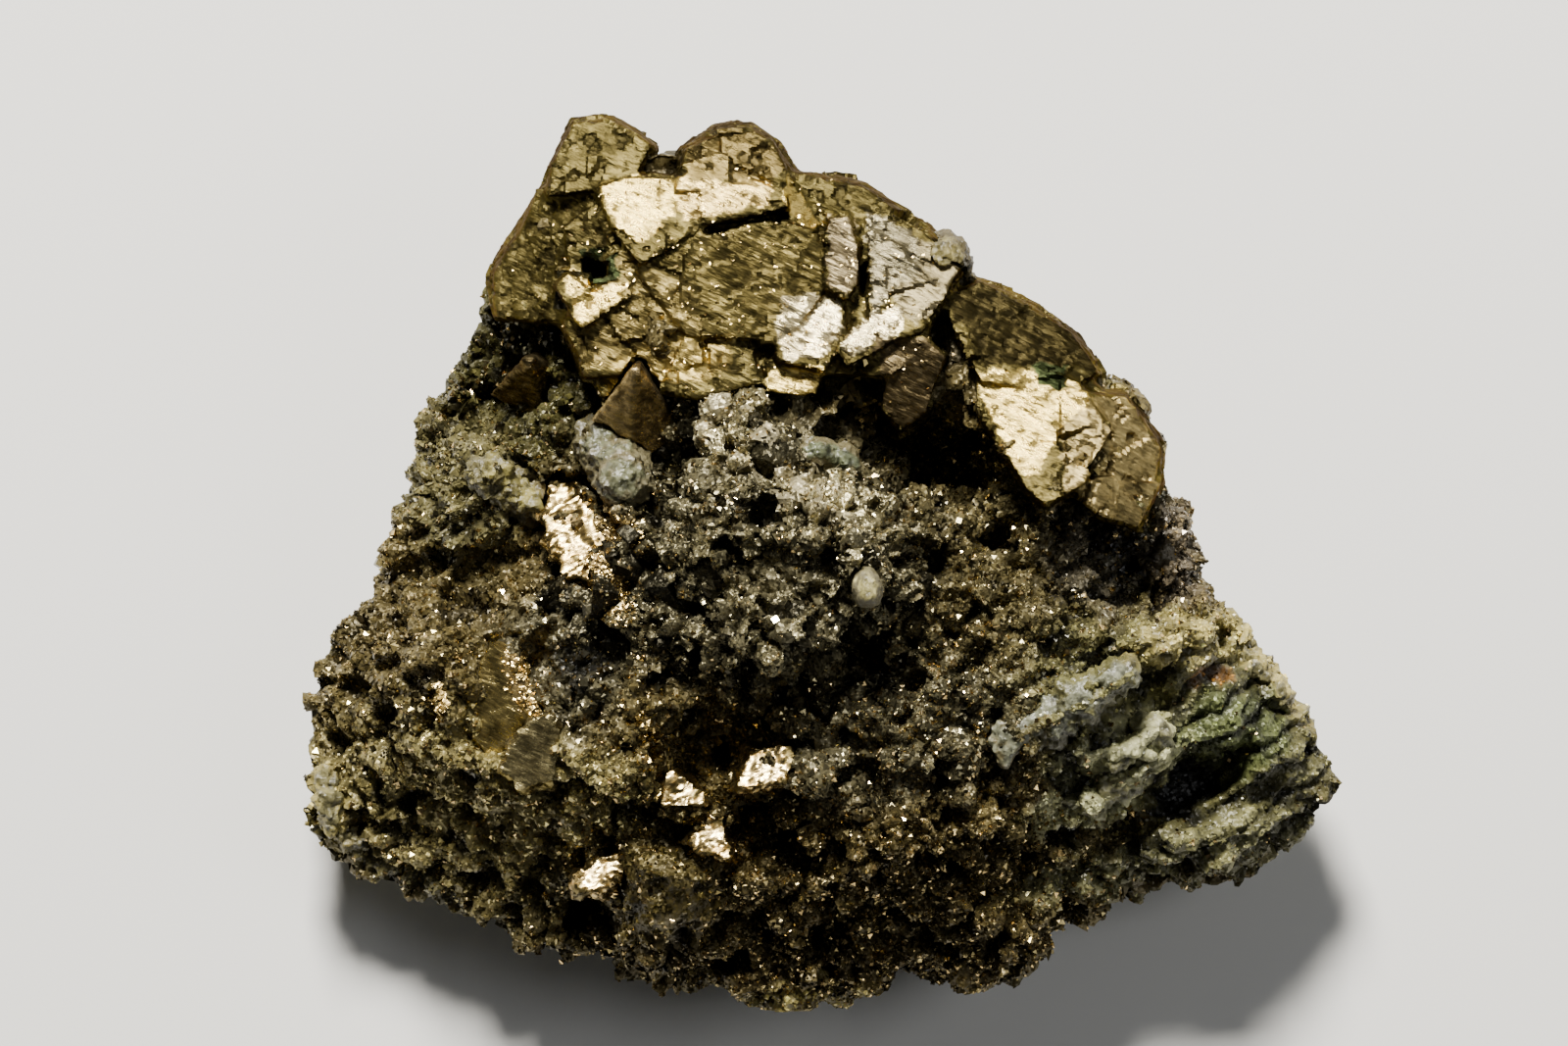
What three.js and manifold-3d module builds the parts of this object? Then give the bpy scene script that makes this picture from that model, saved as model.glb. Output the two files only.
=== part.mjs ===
// A hand specimen of siegenite: a three-sided lump of vuggy sulphide rock, lying on its broken back.
// Millimetres, +Z up. The crystal face looks up, its pointed crown lies towards +Y, and the origin is
// the middle of the base. Places on the face are written as [x, y] from the middle of the outline.
import * as THREE from "three";
import { ConvexGeometry } from "three/addons/geometries/ConvexGeometry.js";
import { ImprovedNoise } from "three/addons/math/ImprovedNoise.js";
import { mergeVertices } from "three/addons/utils/BufferGeometryUtils.js";
import Module from "manifold-3d";

const wasm = await Module();
wasm.setup();
const noise = new ImprovedNoise();

// Driving dimensions
const SUMMIT = 17.2; // height of the plain dome at its middle, before mounds and hollows
const SEAM = 0.3; // open seam kept between two minerals
const UNDERCUT = 0.93; // breadth of the back at its rim, as a share of the outline
const BROW = 0.985; // breadth of the face at its rim, as a share of the outline
const FLAT = 0.06; // bumps lower than this are left out of a finished skin
const CLAY = { across: 26, deep: 22, wall: 2 }; // grid of the rock's skin

// Outline of the rock seen from above, anticlockwise from the right-hand tip.
const OUTLINE = [
  [24.2, -10.0], [23.1, -8.0], [22.2, -6.1], [20.9, -4.3], [19.8, -2.8], [18.4, -2.2], [17.5, -1.4],
  [18.1, -0.7], [17.4, 1.2], [16.6, 2.6], [15.5, 3.8], [15.7, 5.3], [15.0, 6.9], [14.0, 8.0],
  [12.9, 8.9], [11.6, 10.9], [10.0, 11.9], [8.2, 12.9], [6.8, 14.0], [6.4, 15.0], [5.4, 15.5],
  [3.9, 15.8], [3.3, 16.8], [2.0, 17.7], [0.1, 18.1], [-1.4, 18.5], [-2.2, 19.6], [-3.4, 20.3],
  [-4.6, 20.3], [-6.1, 19.4], [-7.7, 19.4], [-8.8, 19.8], [-9.7, 20.7], [-10.8, 20.6], [-11.6, 20.1],
  [-12.4, 18.6], [-13.4, 17.0], [-14.6, 14.8], [-15.5, 13.7], [-15.4, 11.5], [-16.4, 10.2],
  [-17.0, 8.8], [-18.1, 7.1], [-19.0, 5.3], [-19.3, 3.4], [-19.4, 1.6], [-20.4, 0.8], [-20.2, -0.5],
  [-20.8, -1.7], [-22.1, -2.9], [-23.3, -4.4], [-23.6, -6.3], [-23.4, -8.1], [-23.7, -9.7],
  [-24.1, -10.7], [-24.0, -12.2], [-23.0, -13.5], [-21.4, -14.1], [-20.2, -15.1], [-17.9, -15.3],
  [-16.7, -16.0], [-15.3, -16.4], [-14.0, -17.5], [-12.7, -18.1], [-11.2, -18.2], [-10.0, -17.5],
  [-9.1, -18.7], [-7.9, -19.3], [-6.2, -19.5], [-4.4, -19.9], [-2.2, -20.5], [-0.4, -20.7],
  [1.4, -20.1], [3.0, -19.4], [4.1, -19.0], [6.2, -19.4], [7.3, -19.2], [8.5, -19.8], [9.6, -19.1],
  [10.3, -18.0], [10.3, -16.8], [12.0, -16.4], [14.5, -15.6], [17.0, -14.8], [19.4, -14.6],
  [21.2, -14.0], [21.9, -12.7], [22.8, -11.8],
];

// Height of the face where it meets the rim, at compass points: [degrees from +X, height].
const RIM_HEIGHTS = [
  [-156, 5.0], [-145, 4.6], [-120, 7.2], [-90, 7.8], [-60, 7.2], [-38, 5.6], [-22, 6.4], [-3, 10.2],
  [20, 12.0], [45, 13.6], [70, 15.0], [95, 15.4], [118, 12.8], [137, 9.8], [156, 8.6], [180, 7.6],
];

// Tilted fracture planes of the back: each rises from the flat at `from`, along compass point `toward`.
const BACK_PLANES = [
  { toward: -8, from: 10.5, slope: 0.34 },
  { toward: -27, from: 13.5, slope: 0.28 },
  { toward: -62, from: 11.0, slope: 0.4 },
  { toward: -97, from: 11.5, slope: 0.42 },
  { toward: -149, from: 13.5, slope: 0.22 },
  { toward: 176, from: 12.0, slope: 0.42 },
  { toward: 130, from: 10.5, slope: 0.62 },
  { toward: 86, from: 10.0, slope: 0.58 },
  { toward: 42, from: 8.5, slope: 0.5 },
];

// Mounds of the face (lift above 0) and its hollows (lift below 0), each on a turned ellipse.
// `edge` is the share of the reach that the slope takes: small is a cliff, 1 is a dome.
const RELIEF = [
  { what: "siegenite peak", at: [-3.9, 6.1], reach: [3.4, 2.3], turn: -25, lift: 1.6, edge: 0.5 },
  { what: "siegenite shoulder", at: [-0.8, 3.0], reach: [4.2, 2.6], turn: -35, lift: 1.2, edge: 0.6 },
  { what: "siegenite body", at: [-3.4, 0.6], reach: [8.0, 5.6], turn: -12, lift: 2.2, edge: 0.45 },
  { what: "siegenite right arm", at: [2.9, -0.4], reach: [2.6, 2.5], turn: -30, lift: 1.5, edge: 0.5 },
  { what: "siegenite lower lobe", at: [-2.8, -3.1], reach: [1.9, 1.8], turn: 0, lift: 1.5, edge: 0.5 },
  { what: "siegenite left lobe", at: [-10.4, -1.5], reach: [2.8, 2.3], turn: 15, lift: 1.2, edge: 0.6 },
  { what: "seat of the crown", at: [-3.0, 12.8], reach: [10.5, 6.4], turn: -14, lift: -1.2, edge: 0.6 },
  { what: "right shoulder", at: [12.0, 6.2], reach: [4.6, 4.6], turn: -35, lift: 0.9, edge: 0.5 },
  { what: "left hump", at: [-18.0, -5.6], reach: [4.2, 4.4], turn: 20, lift: 2.6, edge: 0.7 },
  { what: "left ledge", at: [-16.6, 3.2], reach: [2.7, 3.4], turn: -20, lift: 2.2, edge: 0.6 },
  { what: "lower left mound", at: [-11.6, -9.2], reach: [4.6, 3.6], turn: 25, lift: 1.8, edge: 0.6 },
  { what: "foot knob", at: [-7.1, -15.6], reach: [3.0, 3.3], turn: 10, lift: 2.6, edge: 0.6 },
  { what: "foot spur", at: [8.4, -17.6], reach: [2.4, 1.9], turn: -50, lift: 1.4, edge: 0.8 },
  { what: "drape upper", at: [7.4, -8.2], reach: [8.2, 1.5], turn: 18, lift: 1.0, edge: 0.9 },
  { what: "drape lower", at: [4.6, -12.6], reach: [7.6, 1.6], turn: 20, lift: 1.2, edge: 0.9 },
  { what: "wedge ridge", at: [15.4, -4.3], reach: [4.8, 1.6], turn: 24, lift: 2.4, edge: 0.7 },
  { what: "wedge spine", at: [16.0, -8.2], reach: [5.0, 1.4], turn: 28, lift: 1.3, edge: 0.8 },
  { what: "wedge lip", at: [18.4, -12.9], reach: [5.4, 1.6], turn: 14, lift: 1.6, edge: 0.7 },
  { what: "great recess", at: [4.9, 5.2], reach: [4.6, 2.1], turn: -24, lift: -6.6, edge: 0.5 },
  { what: "recess tail", at: [8.0, 1.4], reach: [2.8, 1.7], turn: -40, lift: -2.8, edge: 0.7 },
  { what: "crack left of the peak", at: [-6.9, 4.1], reach: [0.9, 3.0], turn: -22, lift: -3.6, edge: 0.6 },
  { what: "cleft in the siegenite", at: [-6.9, -1.2], reach: [0.9, 2.4], turn: 12, lift: -3.4, edge: 0.6 },
  { what: "cleft below the arm", at: [0.2, -4.9], reach: [3.4, 1.3], turn: 30, lift: -3.6, edge: 0.6 },
  { what: "left vug", at: [-14.4, 7.6], reach: [2.1, 1.9], turn: 20, lift: -3.2, edge: 0.6 },
  { what: "small left vug", at: [-15.0, 0.6], reach: [1.5, 1.3], turn: 0, lift: -2.6, edge: 0.7 },
  { what: "side vug", at: [-19.0, -0.4], reach: [1.6, 1.0], turn: 35, lift: -1.6, edge: 0.8 },
  { what: "dark gully", at: [-13.2, -5.4], reach: [1.6, 2.6], turn: -15, lift: -2.2, edge: 0.8 },
  { what: "lip trench", at: [-17.4, -11.4], reach: [4.4, 1.3], turn: -24, lift: -1.8, edge: 0.8 },
  { what: "mirror vug", at: [-5.2, -8.4], reach: [3.0, 2.1], turn: 8, lift: -3.4, edge: 0.5 },
  { what: "mirror vug foot", at: [-2.0, -12.2], reach: [3.0, 2.2], turn: -15, lift: -2.0, edge: 0.8 },
  { what: "foot notch", at: [-10.5, -16.0], reach: [1.3, 1.6], turn: 0, lift: -3.8, edge: 0.6 },
  { what: "foot slot", at: [1.0, -16.7], reach: [1.9, 0.9], turn: 4, lift: -3.0, edge: 0.5 },
  { what: "wedge hole", at: [17.0, -10.3], reach: [2.1, 1.5], turn: 32, lift: -4.4, edge: 0.4 },
  { what: "wedge small hole", at: [17.8, -8.2], reach: [1.0, 0.7], turn: 25, lift: -2.0, edge: 0.5 },
  { what: "wedge crack", at: [14.2, -6.6], reach: [2.5, 0.7], turn: 20, lift: -2.2, edge: 0.5 },
  { what: "wedge pore", at: [11.8, -9.1], reach: [0.9, 0.9], turn: 0, lift: -2.2, edge: 0.5 },
  { what: "shoulder groove", at: [13.5, 0.4], reach: [0.9, 2.1], turn: 4, lift: -3.2, edge: 0.5 },
  { what: "shoulder foot", at: [12.6, -3.2], reach: [1.8, 0.9], turn: 15, lift: -1.8, edge: 0.7 },
];

// Flat-faced blocks of the chalcopyrite crown. `top` is the height of the top face at its middle and
// `dip` its slope along x and y.
const CROWN = [
  { what: "keel of the crown", top: 16.4, dip: [0.06, -0.12], foot: 9, flare: 0.2,
    corners: [[-11.6, 15.4], [-9.5, 17.2], [-3.0, 17.4], [0.6, 16.2], [3.6, 14.6], [5.2, 12.6], [4.6, 9.8],
      [3.2, 8.8], [-2.6, 8.8], [-9.8, 9.2], [-11.3, 11.6]] },
  { what: "keel of the shoulder", top: 14.6, dip: [-0.15, 0], foot: 9, flare: 0.1,
    corners: [[6.4, 12.0], [9.6, 11.2], [12.4, 8.6], [14.3, 6.6], [14.7, 4.4], [13.9, 2.6],
      [10.6, 3.6], [7.6, 7.8]] },
  { what: "left horn", top: 15.4, dip: [0.2, -0.35], foot: 8.6,
    corners: [[-12.2, 18.2], [-11.2, 20.2], [-9.8, 20.4], [-7.9, 19.2], [-8.6, 17.4], [-12.4, 17.0]] },
  { what: "bright face", top: 17.5, dip: [0.02, -0.36], foot: 13,
    corners: [[-10.2, 17.3], [-8.5, 17.7], [-4.9, 17.5], [-5.3, 15.7], [-6.8, 14.6], [-8.2, 13.8],
      [-9.3, 15.1]] },
  { what: "bright ledge", top: 17.5, dip: [0.02, -0.34], foot: 13,
    corners: [[-5.3, 17.5], [-1.8, 17.3], [-1.5, 16.4], [-4.2, 15.9], [-5.6, 15.6]] },
  { what: "top block", top: 16.5, dip: [-0.08, -0.42], foot: 11.4,
    corners: [[-6.1, 19.0], [-4.6, 19.9], [-3.3, 20.0], [-2.3, 19.3], [-1.6, 18.3], [-1.5, 17.0],
      [-6.5, 17.2]] },
  { what: "right blade of the top", top: 16.6, dip: [-0.55, -0.2],
    corners: [[-1.6, 18.2], [-0.3, 15.9], [-1.1, 15.2], [-1.9, 17.2]] },
  { what: "high field", top: 17.6, dip: [-0.02, -0.04],
    corners: [[-6.6, 15.4], [-1.7, 15.7], [-0.2, 15.2], [0.0, 12.4], [-1.6, 10.2], [-6.0, 10.6],
      [-8.4, 13.6]] },
  { what: "striated field", top: 17.3, dip: [0.09, 0.04],
    corners: [[-9.3, 14.4], [-6.0, 12.8], [-5.4, 9.4], [-7.6, 8.8], [-10.6, 8.8], [-11.6, 11.0],
      [-11.2, 12.8]] },
  { what: "lower striated step", top: 16.8, dip: [0.05, 0.2],
    corners: [[-10.6, 9.8], [-5.4, 9.9], [-5.6, 8.3], [-9.8, 7.8]] },
  { what: "golden ledge", top: 17.3, dip: [0.0, -0.2],
    corners: [[-7.9, 9.6], [-6.2, 10.5], [-3.2, 10.1], [-2.8, 8.4], [-5.6, 7.8], [-7.2, 8.2]] },
  { what: "upper gleaming wedge", top: 17.5, dip: [0.1, -0.42], foot: 14,
    corners: [[-12.0, 12.8], [-11.4, 13.2], [-10.5, 12.5], [-11.5, 12.0]] },
  { what: "lower gleaming wedge", top: 17.7, dip: [0.12, -0.42], foot: 14,
    corners: [[-11.4, 11.6], [-10.4, 12.4], [-8.9, 13.0], [-8.6, 12.4], [-10.8, 10.9]] },
  { what: "left flank", top: 14.6, dip: [0.6, -0.1], foot: 9.6,
    corners: [[-14.9, 13.4], [-14.0, 14.8], [-12.4, 17.6], [-10.0, 17.4], [-9.0, 15.0], [-11.2, 12.6],
      [-11.6, 11.2], [-14.7, 11.6]] },
  { what: "standing blade", top: 17.9, dip: [0.2, 0.05], foot: 13,
    corners: [[0.4, 15.8], [1.2, 15.9], [1.7, 14.6], [1.6, 12.9], [1.1, 12.3], [0.3, 12.7], [0.2, 14.4]] },
  { what: "back slope", top: 15.8, dip: [-0.1, -0.42], foot: 8,
    corners: [[-1.2, 18.0], [1.9, 17.3], [3.2, 16.4], [2.4, 13.8], [-0.6, 14.2]] },
  { what: "white facet", top: 16.8, dip: [-0.08, -0.36], foot: 12,
    corners: [[2.1, 16.0], [3.1, 16.4], [4.9, 15.1], [6.3, 13.6], [5.4, 11.9], [4.5, 10.8], [3.0, 10.3],
      [2.3, 10.7]] },
  { what: "cup of the gleaming patch", top: 17.5, dip: [0.0, -0.36], foot: 13,
    corners: [[-2.0, 12.1], [-1.0, 12.6], [1.0, 12.1], [1.2, 10.4], [0.1, 9.0], [-1.9, 9.4]] },
  { what: "foot of the gleaming patch", top: 17.2, dip: [0.0, -0.3],
    corners: [[-1.9, 9.7], [0.1, 9.3], [-0.3, 7.9], [-2.4, 8.0], [-2.9, 8.9]] },
  { what: "crescent", top: 17.8, dip: [-0.1, -0.4], foot: 13,
    corners: [[0.7, 10.0], [2.2, 11.2], [3.6, 11.6], [3.7, 10.7], [2.2, 9.7], [1.2, 9.2]] },
  { what: "dark prism", top: 16.9, dip: [0.25, 0.3],
    corners: [[3.0, 10.4], [4.7, 10.3], [5.6, 9.6], [4.8, 7.2], [3.6, 6.4], [2.9, 7.2]] },
  { what: "shoulder slab", top: 15.4, dip: [-0.25, -0.3], foot: 8.4,
    corners: [[5.4, 12.3], [7.3, 13.0], [9.9, 11.6], [11.5, 10.6], [12.7, 8.9], [11.0, 8.0], [7.3, 8.5]] },
  { what: "bright plate", top: 16.7, dip: [0.0, -0.36],
    corners: [[7.1, 8.7], [9.5, 9.3], [11.8, 8.3], [13.2, 6.2], [11.9, 3.9], [10.3, 2.9], [9.5, 3.5],
      [7.2, 7.4]] },
  { what: "tarnished shoulder", top: 15.5, dip: [-0.5, -0.1], foot: 10.6,
    corners: [[11.9, 7.9], [13.9, 7.7], [15.4, 5.4], [15.3, 3.9], [14.5, 1.8], [12.8, 2.4], [11.4, 3.8]] },
];

// Holes and open gaps of the crown, cut from its top down to `foot` and narrowing on the way.
const CROWN_PITS = [
  { what: "green-lined hole", top: 19, dip: [0, 0], foot: 14.0, flare: -0.3,
    corners: [[-11.0, 14.2], [-10.2, 14.5], [-9.5, 13.9], [-9.6, 13.0], [-10.6, 12.9], [-11.1, 13.5]] },
  { what: "gap under the bright ledge", top: 19, dip: [0, 0], foot: 16.2, flare: -0.1,
    corners: [[-5.6, 15.5], [-4.4, 15.8], [-3.2, 16.0], [-3.0, 15.6], [-4.2, 15.2], [-5.4, 15.0]] },
  { what: "gap beside the standing blade", top: 19, dip: [0, 0], foot: 14.8, flare: -0.1,
    corners: [[1.8, 15.6], [2.25, 15.6], [2.3, 13.0], [2.0, 11.6], [1.7, 12.6]] },
];

// Single flat-faced crystals that stand apart from the crown. `proud` is how far the middle of the top
// stands above the bare face, `depth` how far down the crystal goes from there, and `base` its foot
// where that isn't simply the flared top.
const CRYSTALS = {
  bronze_pyramid: { what: "four-sided point leaning on the crown", proud: 3.5, dip: [0, 0], depth: 3.6,
    corners: [[-8.55, 9.0], [-8.3, 9.05], [-8.3, 8.85], [-8.5, 8.8]],
    base: [[-11.0, 6.0], [-8.7, 4.6], [-6.3, 6.3], [-8.1, 9.7]] },
  dark_tetrahedron: { what: "dark crystal in the left hollow", proud: 1.9, dip: [0, 0], depth: 3.2,
    corners: [[-13.5, 9.5], [-13.2, 9.5], [-13.3, 9.2]],
    base: [[-15.2, 7.9], [-12.5, 6.6], [-11.0, 8.8], [-12.4, 10.4]] },
  bronze_slab_upper: { what: "golden flat face on the left slope", proud: 0.6, dip: [0.28, 0.3], depth: 3.5,
    corners: [[-15.1, -3.5], [-13.9, -4.3], [-12.9, -6.4], [-15.1, -9.0], [-15.8, -7.7], [-15.7, -5.6]] },
  bronze_slab_lower: { what: "dull flat face on the left slope", proud: 0.3, dip: [-0.1, 0.4], depth: 3.5,
    corners: [[-12.7, -6.8], [-11.9, -7.4], [-12.2, -9.7], [-13.5, -10.0], [-14.6, -9.3], [-13.7, -7.6]] },
  golden_face: { what: "feathered golden face left of the siegenite", proud: 0.4, dip: [0.12, -0.4], depth: 3,
    corners: [[-12.2, 3.7], [-12.7, 2.3], [-12.3, 0.9], [-11.4, -0.3], [-10.3, -0.7], [-9.4, 0.6],
      [-10.3, 2.3], [-11.3, 3.5]] },
  mirror_blade_upper: { what: "cleaved face right of the vug", proud: 0.6, dip: [0.1, -0.42], depth: 2.4,
    corners: [[-3.8, -9.95], [-3.2, -8.6], [-2.3, -8.3], [-1.35, -8.2], [-1.4, -9.1], [-1.8, -9.7],
      [-2.9, -9.95]] },
  mirror_blade_lower: { what: "cleaved corner below the vug", proud: 0.6, dip: [0.0, -0.42], depth: 2.4,
    corners: [[-7.05, -10.85], [-7.0, -9.3], [-6.6, -9.5], [-5.4, -10.4], [-5.35, -10.85]] },
  mirror_blade_middle: { what: "cleaved chip under the vug", proud: 0.5, dip: [0.1, -0.42], depth: 2,
    corners: [[-4.6, -11.3], [-4.45, -12.2], [-4.15, -13.3], [-5.2, -13.1], [-5.95, -12.6]] },
  mirror_blade_foot: { what: "long cleaved face by the notch", proud: 0.4, dip: [0.05, -0.42], depth: 1.7,
    corners: [[-11.05, -14.9], [-10.95, -14.2], [-10.1, -13.5], [-8.5, -12.7], [-9.1, -13.85],
      [-9.85, -14.7]] },
};

// Territory of the grey siegenite mass on the face.
const SIEGENITE = {
  floor: 8.5,
  border: [
    [-3.2, 8.0], [-1.5, 6.0], [1.2, 4.8], [3.2, 2.9], [5.2, -0.9], [4.0, -1.9], [1.9, -3.1],
    [-0.5, -3.5], [-1.3, -5.2], [-3.5, -5.7], [-6.2, -5.3], [-6.9, -3.6], [-8.9, -4.3], [-11.2, -3.2],
    [-12.6, -1.2], [-11.8, 0.5], [-9.0, 1.3], [-7.9, 4.1], [-6.9, 7.2], [-5.8, 8.0],
  ],
};

// Rounded grains and nodules of the pale minerals: each is one or more lumps that run together.
// `proud` is how far the middle of a lump stands above the bare face there.
const NODULES = {
  quartz_nodule: { colour: 0xb9c2bd, detail: 2, lumps: [
    { at: [-10.0, 5.7], proud: 0.3, radii: [1.25, 1.2, 1.7] },
    { at: [-9.4, 4.9], proud: 0.4, radii: [1.4, 1.2, 1.8] },
    { at: [-9.0, 4.1], proud: 0.2, radii: [1.3, 1.3, 1.7] }] },
  quartz_vein: { colour: 0x9faaa9, detail: 1, lumps: [
    { at: [8.9, -7.7], proud: -0.6, radii: [1.5, 0.9, 1.3], turn: 34 },
    { at: [10.4, -6.9], proud: -0.5, radii: [1.7, 1.25, 1.4], turn: 32 },
    { at: [12.0, -5.9], proud: -0.5, radii: [1.6, 1.1, 1.3], turn: 30 },
    { at: [13.4, -5.1], proud: -0.5, radii: [1.4, 0.8, 1.2], turn: 26 }] },
  quartz_bead: { colour: 0x93a498, detail: 1, lumps: [
    { at: [-0.1, 5.3], proud: 0.1, radii: [1.0, 0.8, 1.0], turn: -15 },
    { at: [1.0, 4.9], proud: 0.1, radii: [0.8, 0.7, 0.9] }] },
  dolomite_lump: { colour: 0xb7ad84, detail: 1, lumps: [
    { at: [-15.0, 4.3], proud: -0.2, radii: [1.1, 0.9, 1.3], turn: -20 },
    { at: [-14.1, 3.5], proud: -0.1, radii: [1.2, 1.1, 1.4] },
    { at: [-13.2, 3.1], proud: -0.2, radii: [0.9, 1.1, 1.3] }] },
  dolomite_rim_lump: { colour: 0xb7b18c, detail: 1, lumps: [
    { at: [5.6, 14.1], proud: 0.3, radii: [1.3, 1.2, 1.5], turn: -30 }] },
  dolomite_grain: { colour: 0xc9c5a4, detail: 1, lumps: [
    { at: [2.1, -0.9], proud: 0.2, radii: [0.65, 0.85, 0.9], turn: 10 }] },
  dolomite_patch: { colour: 0xa7a892, detail: 1, lumps: [
    { at: [14.0, -8.5], proud: -0.7, radii: [1.2, 0.8, 1.2], turn: 24 },
    { at: [15.0, -7.7], proud: -0.7, radii: [1.1, 0.7, 1.2], turn: 30 }] },
  dolomite_patch_lower: { colour: 0xa7a892, detail: 1, lumps: [
    { at: [12.5, -10.7], proud: -0.7, radii: [1.1, 0.8, 1.2], turn: 10 },
    { at: [13.6, -10.1], proud: -0.7, radii: [1.1, 0.8, 1.2], turn: 24 }] },
  dolomite_rim: { colour: 0xb5b2a2, detail: 1, lumps: [
    { at: [18.8, -3.3], proud: -0.4, radii: [1.1, 0.6, 1.2], turn: -40 },
    { at: [20.0, -4.5], proud: -0.4, radii: [1.2, 0.6, 1.2], turn: -45 },
    { at: [21.1, -5.9], proud: -0.4, radii: [1.2, 0.6, 1.2], turn: -55 }] },
  dolomite_lip: { colour: 0xb3ad8a, detail: 1, lumps: [
    { at: [-22.8, -10.7], proud: -0.2, radii: [0.7, 1.7, 0.8], turn: 8 },
    { at: [-22.1, -12.4], proud: -0.2, radii: [1.3, 0.7, 0.8], turn: -35 }] },
};

const IN_FRONT = "quartz_nodule"; // the nodule that hides the foot of the bronze point

const COLOURS = {
  matrix: { color: 0x4a4034, roughness: 0.55, metalness: 0.45 },
  chalcopyrite: { color: 0x9c8a5c, roughness: 0.38, metalness: 0.9 },
  siegenite: { color: 0x77716a, roughness: 0.4, metalness: 0.85 },
  mirror: { color: 0xe0cfa0, roughness: 0.15, metalness: 1.0 },
};

const radians = THREE.MathUtils.degToRad;
const { lerp, smoothstep } = THREE.MathUtils;

// Distance from the middle to the outline along an angle, where the ray crosses one of its sides.
function outlineRadius(angle) {
  const [dx, dy] = [Math.cos(angle), Math.sin(angle)];
  let radius = 0;
  OUTLINE.forEach(([ax, ay], i) => {
    const [bx, by] = OUTLINE[(i + 1) % OUTLINE.length];
    const sideA = dx * ay - dy * ax;
    const sideB = dx * by - dy * bx;
    if (sideA * sideB > 0) return;
    const share = sideA / (sideA - sideB);
    const along = lerp(ax, bx, share) * dx + lerp(ay, by, share) * dy;
    radius = Math.max(radius, along);
  });
  return radius;
}

function rimHeight(angle) {
  const degrees = THREE.MathUtils.radToDeg(angle);
  const next = RIM_HEIGHTS.findIndex(([stop]) => stop > degrees);
  const high = next < 0 ? [RIM_HEIGHTS[0][0] + 360, RIM_HEIGHTS[0][1]] : RIM_HEIGHTS[next];
  const before = RIM_HEIGHTS.at(next < 0 ? -1 : next - 1);
  const low = next === 0 ? [before[0] - 360, before[1]] : before;
  return lerp(low[1], high[1], (degrees - low[0]) / (high[0] - low[0]));
}

// How much of a mound or hollow is felt at a place: 1 in its middle, 0 outside its ellipse.
function presence(x, y, { at, reach, turn, edge }) {
  const [c, s] = [Math.cos(radians(turn)), Math.sin(radians(turn))];
  const [dx, dy] = [x - at[0], y - at[1]];
  const out = Math.hypot((dx * c + dy * s) / reach[0], (dy * c - dx * s) / reach[1]);
  return 1 - smoothstep(out, 1 - edge, 1 + 0.25 * edge);
}

// Knobbly texture of broken rock: coarse lumps and finer grit, in millimetres.
function lumps(x, y, z) {
  const coarse = noise.noise(x / 3.6 + 7, y / 3.6, z / 3.6);
  const fine = noise.noise(x / 2.1, y / 2.1 + 11, z / 2.1);
  return 0.9 * coarse + 0.4 * fine;
}

function faceHeight(x, y, share, angle) {
  const dome = lerp(SUMMIT, rimHeight(angle), share ** 2.2);
  return RELIEF.reduce((z, form) => z + form.lift * presence(x, y, form), dome) + lumps(x, y, 0);
}

// Height of the bare face above any place inside the outline.
function faceAt(x, y) {
  const angle = Math.atan2(y, x);
  return faceHeight(x, y, Math.min(1, Math.hypot(x, y) / outlineRadius(angle)), angle);
}

function backHeight(x, y) {
  const rises = BACK_PLANES.map(({ toward, from, slope }) =>
    slope * (x * Math.cos(radians(toward)) + y * Math.sin(radians(toward)) - from));
  const rise = Math.max(0, ...rises);
  return Math.max(0, rise + 0.7 * lumps(x + 40, y, 0) * Math.min(1, rise));
}

// The whole rock: a gridded box of clay pressed into the outline, its top raised to the relief of the
// face and its underside to the fracture planes of the back.
function rockGeometry() {
  const box = weld(new THREE.BoxGeometry(2, 2, 1, CLAY.across, CLAY.deep, CLAY.wall));
  const position = box.getAttribute("position");
  for (let i = 0; i < position.count; i++) {
    const [u, v, w] = [position.getX(i), position.getY(i), position.getZ(i) + 0.5];
    const [discX, discY] = [u * Math.sqrt(1 - v * v / 2), v * Math.sqrt(1 - u * u / 2)];
    const share = Math.min(1, Math.hypot(discX, discY));
    const angle = Math.atan2(discY, discX);
    const outward = outlineRadius(angle) * share;
    const breadth = w < 0.5 ? lerp(UNDERCUT, 1, w * 2) : lerp(1, BROW, w * 2 - 1);
    const x = outward * Math.cos(angle) * lerp(1, breadth, share);
    const y = outward * Math.sin(angle) * lerp(1, breadth, share);
    const top = faceHeight(x, y, share, angle);
    const onWall = w > 0 && w < 1;
    const dent = onWall ? 1 + 0.02 * lumps(x, y, 9 * w) : 1;
    position.setXYZ(i, x * dent, y * dent, lerp(backHeight(x, y), top, w));
  }
  return box;
}

const middleOf = (corners) =>
  [0, 1].map((axis) => corners.reduce((sum, corner) => sum + corner[axis], 0) / corners.length);

// Corners pushed outward from their middle by a distance.
function spread(corners, distance) {
  const middle = middleOf(corners);
  return corners.map(([x, y]) => {
    const [dx, dy] = [x - middle[0], y - middle[1]];
    const grown = 1 + distance / Math.hypot(dx, dy);
    return [middle[0] + dx * grown, middle[1] + dy * grown];
  });
}

// A convex block with a flat, dipping top face and flanks that flare down to its foot.
function blockGeometry({ corners, top, dip, foot = 10.5, flare = 0.5, base }, grow) {
  const middle = middleOf(corners);
  const points = spread(corners, grow).map(([x, y]) =>
    new THREE.Vector3(x, y, top + grow + dip[0] * (x - middle[0]) + dip[1] * (y - middle[1])));
  const footprint = base ? spread(base, grow) : spread(corners, flare + grow);
  footprint.forEach(([x, y]) => points.push(new THREE.Vector3(x, y, foot - grow)));
  return new ConvexGeometry(points);
}

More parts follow.
